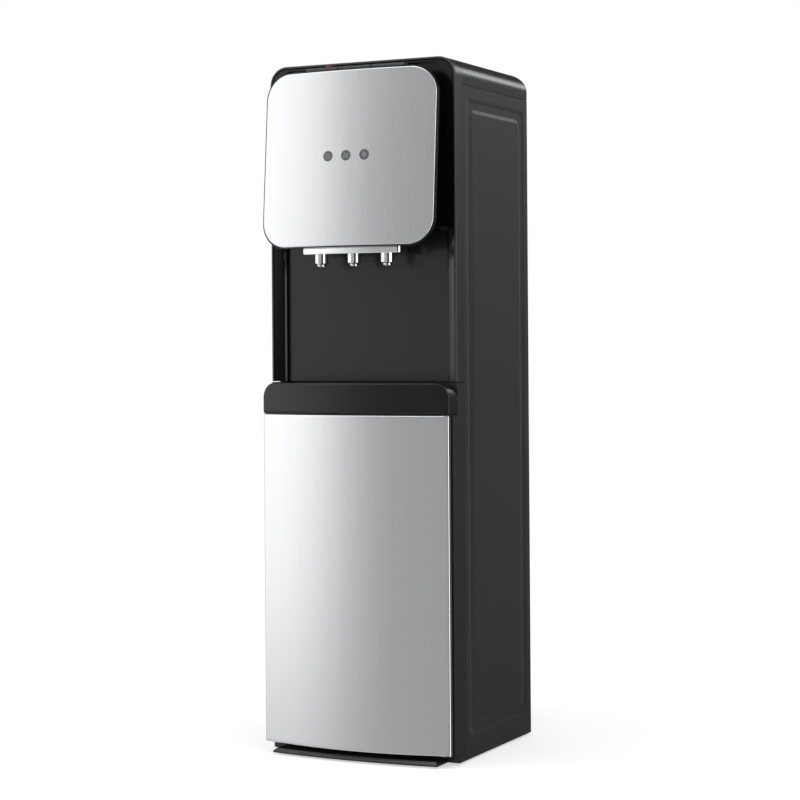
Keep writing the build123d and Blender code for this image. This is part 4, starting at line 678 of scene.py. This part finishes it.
def bow(mesh, centre, radius, start, sweep, steps, width=MARK_LINE, lift=MARK_LIFT):
    """A line along part of a circle, from a start bearing in degrees."""
    middle = Vector((*centre, 0))
    turn = Matrix.Rotation(math.radians(start), 4, "Z")
    upright = Matrix.Rotation(math.radians(90), 4, "X")
    shape = Matrix.Diagonal((width, lift, 1, 1))
    place = Matrix.Translation(middle) @ turn @ Matrix.Translation((radius, 0, 0)) @ upright @ shape
    verts = bmesh.ops.create_grid(mesh, x_segments=1, y_segments=1, size=0.5, matrix=place)["verts"]
    whole = sweep == 360
    if whole:
        bmesh.ops.delete(mesh, geom=verts[0].link_faces[:], context="FACES_ONLY")
    edges = {edge for vert in verts for edge in vert.link_edges}
    faces = {face for vert in verts for face in vert.link_faces}
    bmesh.ops.spin(mesh, geom=[*verts, *edges, *faces], cent=middle, axis=(0, 0, 1),
                   angle=math.radians(sweep), steps=steps, use_merge=whole)


def raise_face(mesh, face, lift, scale=1.0, first=False):
    """Extrude one face along Z and scale it about the middle. The first face stays as the underside."""
    grown = bmesh.ops.extrude_face_region(mesh, geom=[face])["geom"]
    if not first:
        bmesh.ops.delete(mesh, geom=[face], context="FACES_ONLY")
    top = next(part for part in grown if isinstance(part, bmesh.types.BMFace))
    bmesh.ops.translate(mesh, verts=top.verts, vec=(0, 0, lift))
    bmesh.ops.scale(mesh, verts=top.verts, vec=(scale, scale, 1))
    return top


# %% [markdown]
# ## The door's skin
#
# The door's face is one bowed sheet of steel, folded back all round. The frame carries it as a solid whose
# small rounding has coarse facets, and they glitter along the edge. So the sheet is made again here: an
# upright line is spun along the bow, a loop near each end keeps the shading flat, the outline is pulled back
# to form the folds, and the fold is bevelled round. A Solidify modifier adds the thickness on the inside.
# The pins of the hinge hide the places of their holes, so the sheet needs none.

# %% Door skin
BOW_RADIUS = 564.4 * MM
BOW_STEPS = 48
FOLD_RADIUS = 1.5 * MM
SHEET = 1.2 * MM
LOOP_INSET = 4 * MM
UP = Vector((0, 0, 1))


def cut_across(mesh, places, axis):
    """Add loops of edges where planes cross the mesh."""
    for place in places:
        every = [*mesh.verts, *mesh.edges, *mesh.faces]
        bmesh.ops.bisect_plane(mesh, geom=every, plane_co=axis * place, plane_no=axis)


def bowed_pan(low, high):
    """A bowed sheet with folded sides, between the corners of a box."""
    mesh = bmesh.new()
    centre = Vector((0, low.y + BOW_RADIUS, 0))
    half = math.asin(high.x / BOW_RADIUS)
    end = centre + Matrix.Rotation(-half, 3, "Z") @ Vector((0, -BOW_RADIUS, 0))
    line = [mesh.verts.new((end.x, end.y, z)) for z in (low.z, high.z)]
    upright = mesh.edges.new(line)
    bmesh.ops.spin(mesh, geom=[*line, upright], cent=centre, axis=UP, angle=2 * half, steps=BOW_STEPS)
    cut_across(mesh, (low.z + LOOP_INSET, high.z - LOOP_INSET), UP)
    outline = [edge for edge in mesh.edges if edge.is_boundary]
    grown = bmesh.ops.extrude_edge_only(mesh, edges=outline)["geom"]
    rim = [part for part in grown if isinstance(part, bmesh.types.BMVert)]
    bmesh.ops.scale(mesh, verts=rim, vec=(1, 0, 1))
    bmesh.ops.translate(mesh, verts=rim, vec=(0, high.y, 0))
    bmesh.ops.bevel(mesh, geom=outline, offset=FOLD_RADIUS, offset_type="OFFSET", affect="EDGES",
                    segments=4, profile=0.5, material=-1)
    return mesh


door_low, door_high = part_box("door_panel")
door_skin = add_piece("door_skin", bowed_pan(door_low, door_high), "door", door_silver)
wall = door_skin.modifiers.new("sheet", "SOLIDIFY")
wall.thickness = SHEET
wall.offset = -1
wall.use_even_offset = True
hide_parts("door_panel")

# %% [markdown]
# ## Trim round the head and under the tray
#
# Two thin black lines give the pale fronts their outline. The head panel lies on a backing that peeps out
# by almost two millimetres, so its carrier is copied, merged and widened about its middle. Under the tray a
# soft lip closes the gap above the door: a small rectangle, spun along the same bow.

# %% Head backing and tray lip
PEEP = 1.8 * MM
LIP_BACK = 1.5 * MM
LIP_WIDTH = 1.2 * MM
LIP_DROP = 1.5 * MM
MERGE = 0.01 * MM


def merge(mesh):
    bmesh.ops.remove_doubles(mesh, verts=mesh.verts, dist=MERGE)


def merged_copy(node):
    """A node's loose triangles, joined into one mesh."""
    mesh = bmesh.new()
    mesh.from_mesh(nodes[node].data)
    merge(mesh)
    return mesh


back_low, back_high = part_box("panel_carrier")
spread = (1 + 2 * PEEP / (back_high.x - back_low.x), 1, 1 + 2 * PEEP / (back_high.z - back_low.z))
backing = merged_copy("panel_carrier")
about = Matrix.Translation(-(back_low + back_high) / 2)
bmesh.ops.scale(backing, verts=backing.verts, vec=spread, space=about)
head_backing = add_piece("head_backing", backing, "cabinet", fascia_plastic)
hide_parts("panel_carrier")

tray_low, tray_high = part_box("drip_tray")
lip = bmesh.new()
lip_radius = BOW_RADIUS - LIP_BACK - LIP_WIDTH / 2
lip_half = math.degrees(math.asin((tray_high.x - LIP_BACK) / BOW_RADIUS))
bow(lip, (0, tray_low.y + BOW_RADIUS), lip_radius, -90 - lip_half, 2 * lip_half, BOW_STEPS,
    LIP_WIDTH, LIP_DROP)
bmesh.ops.translate(lip, verts=lip.verts, vec=(0, 0, tray_low.z - LIP_DROP / 2))
add_piece("tray_lip", lip, "drip_tray", tray_plastic)

# %% [markdown]
# ## Sloped pillars
#
# The pillars beside the alcove slope inwards, so one of them lies in the dark while the other catches the
# light. They belong to the fascia, which has many more edges that are right as they are. So it isn't made
# again but copied: the copy is merged and cut across just below the alcove's ceiling, and under the cut its
# front slides back while its rear stays. The slide grows from the outer edge towards the alcove.

# %% Pillars
SLOPE = math.tan(math.radians(30))
SLOPE_TOP = 243 * MM
SLOPE_END = 12 * MM


def slide_back(mesh, low, high, amount):
    """Move the front back by an amount that depends on the place, and leave the rear."""
    for vert in mesh.verts:
        share = (high.y - vert.co.y) / (high.y - low.y)
        vert.co.y += share * amount(vert.co)


face_low, face_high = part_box("fascia")
slope_top = face_high.z - SLOPE_TOP


def pillar_slide(place):
    """How far the fascia's front lies back: more towards the alcove, and nothing above its ceiling."""
    if place.z > slope_top - SLOPE_END / 2:
        return 0
    return SLOPE * (face_high.x - abs(place.x))


pillars = merged_copy("fascia")
cut_across(pillars, (slope_top - SLOPE_END, slope_top), UP)
merge(pillars)
slide_back(pillars, face_low, face_high, pillar_slide)
sloped_fascia = add_piece("sloped_fascia", pillars, "cabinet", fascia_plastic)
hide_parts("fascia")

# %% [markdown]
# ## A bowed bar and fuller spouts
#
# The chromed bar under the head follows the door's bow, which is why it mirrors white at one end and grey at
# the other. Its copy is cut into narrow strips, and each strip slides back as far as the bow asks. The spouts
# are copied as well and made fuller, each about its own axis: the ring a little, the tip more.

# %% Spout bar
BAR_CUTS = 24
ACROSS = Vector((1, 0, 0))


def bow_slide(place):
    """How far the bow lies back at this distance from the middle."""
    return BOW_RADIUS - math.sqrt(BOW_RADIUS ** 2 - place.x ** 2)


bar_low, bar_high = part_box("spout_bar")
bowed = merged_copy("spout_bar")
cuts = [bar_low.x + (bar_high.x - bar_low.x) * step / BAR_CUTS for step in range(1, BAR_CUTS)]
cut_across(bowed, cuts, ACROSS)
merge(bowed)
slide_back(bowed, bar_low, bar_high, bow_slide)
bowed_bar = add_piece("bowed_bar", bowed, "cabinet", chrome_trim)
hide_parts("spout_bar")

# %% Spouts
SPOUT_PITCH = 55 * MM
SPOUT_NECK = 6 * MM
SPOUT_TIP = 1 * MM
SPOUT_GROW = 1.15
TIP_GROW = 1.6

spout_low, spout_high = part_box("spouts")
fuller = merged_copy("spouts")
for x in (-SPOUT_PITCH, 0, SPOUT_PITCH):
    axis = Vector((x, (spout_low.y + spout_high.y) / 2, 0))
    near = [vert for vert in fuller.verts if abs(vert.co.x - x) < SPOUT_PITCH / 2]
    tip = [vert for vert in near if vert.co.z < spout_low.z + SPOUT_TIP]
    ring = [vert for vert in near if (vert.co - axis).xy.length > SPOUT_NECK + SPOUT_TIP]
    for part, grow in ((tip, TIP_GROW), (ring, SPOUT_GROW)):
        bmesh.ops.scale(fuller, verts=part, vec=(grow, grow, 1), space=Matrix.Translation(-axis))
fuller_spouts = add_piece("fuller_spouts", fuller, "cabinet", chrome_trim)
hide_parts("spouts")

# %% [markdown]
# ## Marks on the three lamps
#
# The lamps tell that the dispenser is on, heating or cooling. Their marks are the usual ones: a broken ring
# with a bar, three rising waves and a snowflake. Each wave is made of two bows that bend opposite ways.

# %% Lamp marks
MARK_PALE = (0.46, 0.46, 0.47)
MARK_SIZE = 3.6 * MM
PANEL_OUT = (0, -1, 0.08)
RING_GAP = 70
WAVE_GAP = 0.75
WAVE_RADIUS = 0.71
BRANCH_START = 0.62
BRANCH_SIDE = 0.35
BRANCH_LINE = 0.7 * MARK_LINE


def ink(name, colour):
    """Printing ink: a thin, even film."""
    return moulded(name, colour, 0.40, 2000, 0.01 * MM)


pale_ink = ink("mark_pale", MARK_PALE)


def power_mark(mesh, size):
    """A ring that is open at the top, with a bar in the gap."""
    bow(mesh, (0, 0), size, start=90 + RING_GAP / 2, sweep=360 - RING_GAP, steps=20)
    bar(mesh, (0, size * 0.25), (0, size * 1.15))


def heat_mark(mesh, size):
    """Three rising waves, each of two bows."""
    radius = size * WAVE_RADIUS
    for x in (-WAVE_GAP * size, 0, WAVE_GAP * size):
        bow(mesh, (x - size / 2, size / 2), radius, start=-45, sweep=90, steps=5)
        bow(mesh, (x + size / 2, -size / 2), radius, start=135, sweep=90, steps=5)


def cool_mark(mesh, size):
    """A snowflake: six arms with two short branches each."""
    for turn in range(30, 390, 60):
        arm = Vector((math.cos(math.radians(turn)), math.sin(math.radians(turn)))) * size
        side = Vector((-arm.y, arm.x)) * BRANCH_SIDE
        bar(mesh, (0, 0), arm * 1.1)
        for tip in (arm + side, arm - side):
            bar(mesh, arm * BRANCH_START, tip, BRANCH_LINE)


# %% Stamp the lamp marks
lens_low, lens_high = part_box("indicator_lenses")
lens_width = lens_high.z - lens_low.z
lens_lefts = (lens_low.x, -lens_width / 2, lens_high.x - lens_width)
marks = bmesh.new()
for draw, left_edge in zip((power_mark, heat_mark, cool_mark), lens_lefts):
    drawing = bmesh.new()
    draw(drawing, MARK_SIZE)
    stamp(marks, drawing, face_place("indicator_lenses", PANEL_OUT, (left_edge, left_edge + lens_width)))
    drawing.free()
add_piece("lamp_marks", marks, "cabinet", pale_ink)

# %% [markdown]
# ## Drops on the buttons
#
# Each button carries a drop: red for hot water, pale for water as it comes, blue for cold. A drop is a round
# face whose foremost point is pulled out to a tip, then raised by the thickness of the print.

# %% Button drops
DROP_RADIUS = 2.4 * MM
DROP_TIP = 5.2 * MM
DROP_ASIDE = 10 * MM
HOT_RED = (0.45, 0.03, 0.025)
COLD_BLUE = (0.03, 0.12, 0.42)
BUTTON_OUT = (0, -0.137, 0.991)


def drop_mark():
    """A drop that lies half sunk in its face."""
    drawing = bmesh.new()
    bmesh.ops.create_circle(drawing, cap_ends=True, radius=DROP_RADIUS, segments=20)
    tip = max(drawing.verts, key=lambda vert: vert.co.y)
    tip.co.y = DROP_TIP
    drawing.faces.ensure_lookup_table()
    raise_face(drawing, drawing.faces[0], MARK_LIFT, first=True)
    bmesh.ops.translate(drawing, verts=drawing.verts, vec=(0, -DROP_RADIUS / 2, -MARK_LIFT / 2))
    return drawing


hot_ink = ink("mark_red", HOT_RED)
cold_ink = ink("mark_blue", COLD_BLUE)
for water, colour_ink in (("hot", hot_ink), ("ambient", pale_ink), ("cold", cold_ink)):
    print_mesh = bmesh.new()
    drop = drop_mark()
    place = face_place(water + "_button", BUTTON_OUT)
    stamp(print_mesh, drop, place @ Matrix.Translation((-DROP_ASIDE, 0, 0)))
    drop.free()
    add_piece(water + "_drop", print_mesh, water + "_button", colour_ink)

# %% [markdown]
# ## Marks on the rockers
#
# The two switches at the rear are rockers with a line for on and a ring for off. The upper half of a rocker
# stands upright and the lower half leans, so each mark is stamped onto its own half.

# %% Rocker marks
ROCKER_UPPER = (0, 1, 0)
ROCKER_LOWER = (0, 0.970, 0.242)
ROCKER_MARK = 2.2 * MM
MARK_WHITE = (0.72, 0.72, 0.72)

white_ink = ink("mark_white", MARK_WHITE)
on_line = bmesh.new()
bar(on_line, (0, -ROCKER_MARK), (0, ROCKER_MARK))
off_ring = bmesh.new()
bow(off_ring, (0, 0), ROCKER_MARK, start=0, sweep=360, steps=24)
for rocker, slot in (("heat_rocker", "red_rocker"), ("cool_rocker", "green_rocker")):
    print_mesh = bmesh.new()
    stamp(print_mesh, on_line, face_place(rocker, ROCKER_UPPER))
    stamp(print_mesh, off_ring, face_place(rocker, ROCKER_LOWER))
    add_piece(rocker + "_marks", print_mesh, rocker, white_ink)
on_line.free()
off_ring.free()

# %% [markdown]
# ## Screws
#
# The rear panel is held by pan-head screws with a cross recess. A head is a round face that is raised three
# times, narrower each time. The fourth time its twelve points move to the outline of a cross, and the cross
# is sunk back into the head.

# %% A screw's head
SCREW_RADIUS = 3.4 * MM
SCREW_HEIGHT = 1.9 * MM
CROSS_ARM = 1.9 * MM
CROSS_HALF = 0.5 * MM
CROSS_DEPTH = 0.7 * SCREW_HEIGHT
CROSS_TAPER = 0.8
SCREW_STEPS = ((0.45, 1.0), (0.40, 0.86), (0.15, 0.77))

corner = [(CROSS_ARM, CROSS_HALF), (CROSS_HALF, CROSS_HALF), (CROSS_HALF, CROSS_ARM)]
half_cross = corner + [(-x, y) for x, y in reversed(corner)]
cross = half_cross + [(-x, -y) for x, y in half_cross]


def screw_head():
    """A pan head with a cross recess. Each step has a share of the height and narrows by a factor."""
    head = bmesh.new()
    turn = Matrix.Rotation(math.pi / len(cross), 4, "Z")
    bmesh.ops.create_circle(head, cap_ends=True, radius=SCREW_RADIUS, segments=len(cross), matrix=turn)
    head.faces.ensure_lookup_table()
    top = head.faces[0]
    for number, (share, narrow) in enumerate(SCREW_STEPS):
        top = raise_face(head, top, SCREW_HEIGHT * share, narrow, first=number == 0)
    top = raise_face(head, top, 0)
    around = sorted(top.verts, key=lambda vert: math.atan2(vert.co.y, vert.co.x) % math.tau)
    for vert, (x, y) in zip(around, cross):
        vert.co.xy = (x, y)
    raise_face(head, top, -CROSS_DEPTH, CROSS_TAPER)
    return head


# %% Rear screws
SCREW_INSET = 7 * MM
ROW_INSET = 28 * MM
EDGE_ROWS = 5
TOP_PITCH = 70 * MM

rear_low, rear_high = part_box("rear_panel")
left_x, right_x = rear_low.x + SCREW_INSET, rear_high.x - SCREW_INSET
low_z, high_z = rear_low.z + ROW_INSET, rear_high.z - ROW_INSET
row_pitch = (high_z - low_z) / (EDGE_ROWS - 1)
spots = [(x, low_z + row_pitch * row) for row in range(EDGE_ROWS) for x in (left_x, right_x)]
spots += [(TOP_PITCH * column, rear_high.z - SCREW_INSET) for column in (-1, 0, 1)]
head = screw_head()
screws = bmesh.new()
for x, z in spots:
    stamp(screws, head, facing((x, rear_high.y, z), (0, 1, 0)))
head.free()
add_piece("rear_screws", screws, "cabinet", zinc)
print(len(spots), "screws in the rear panel")
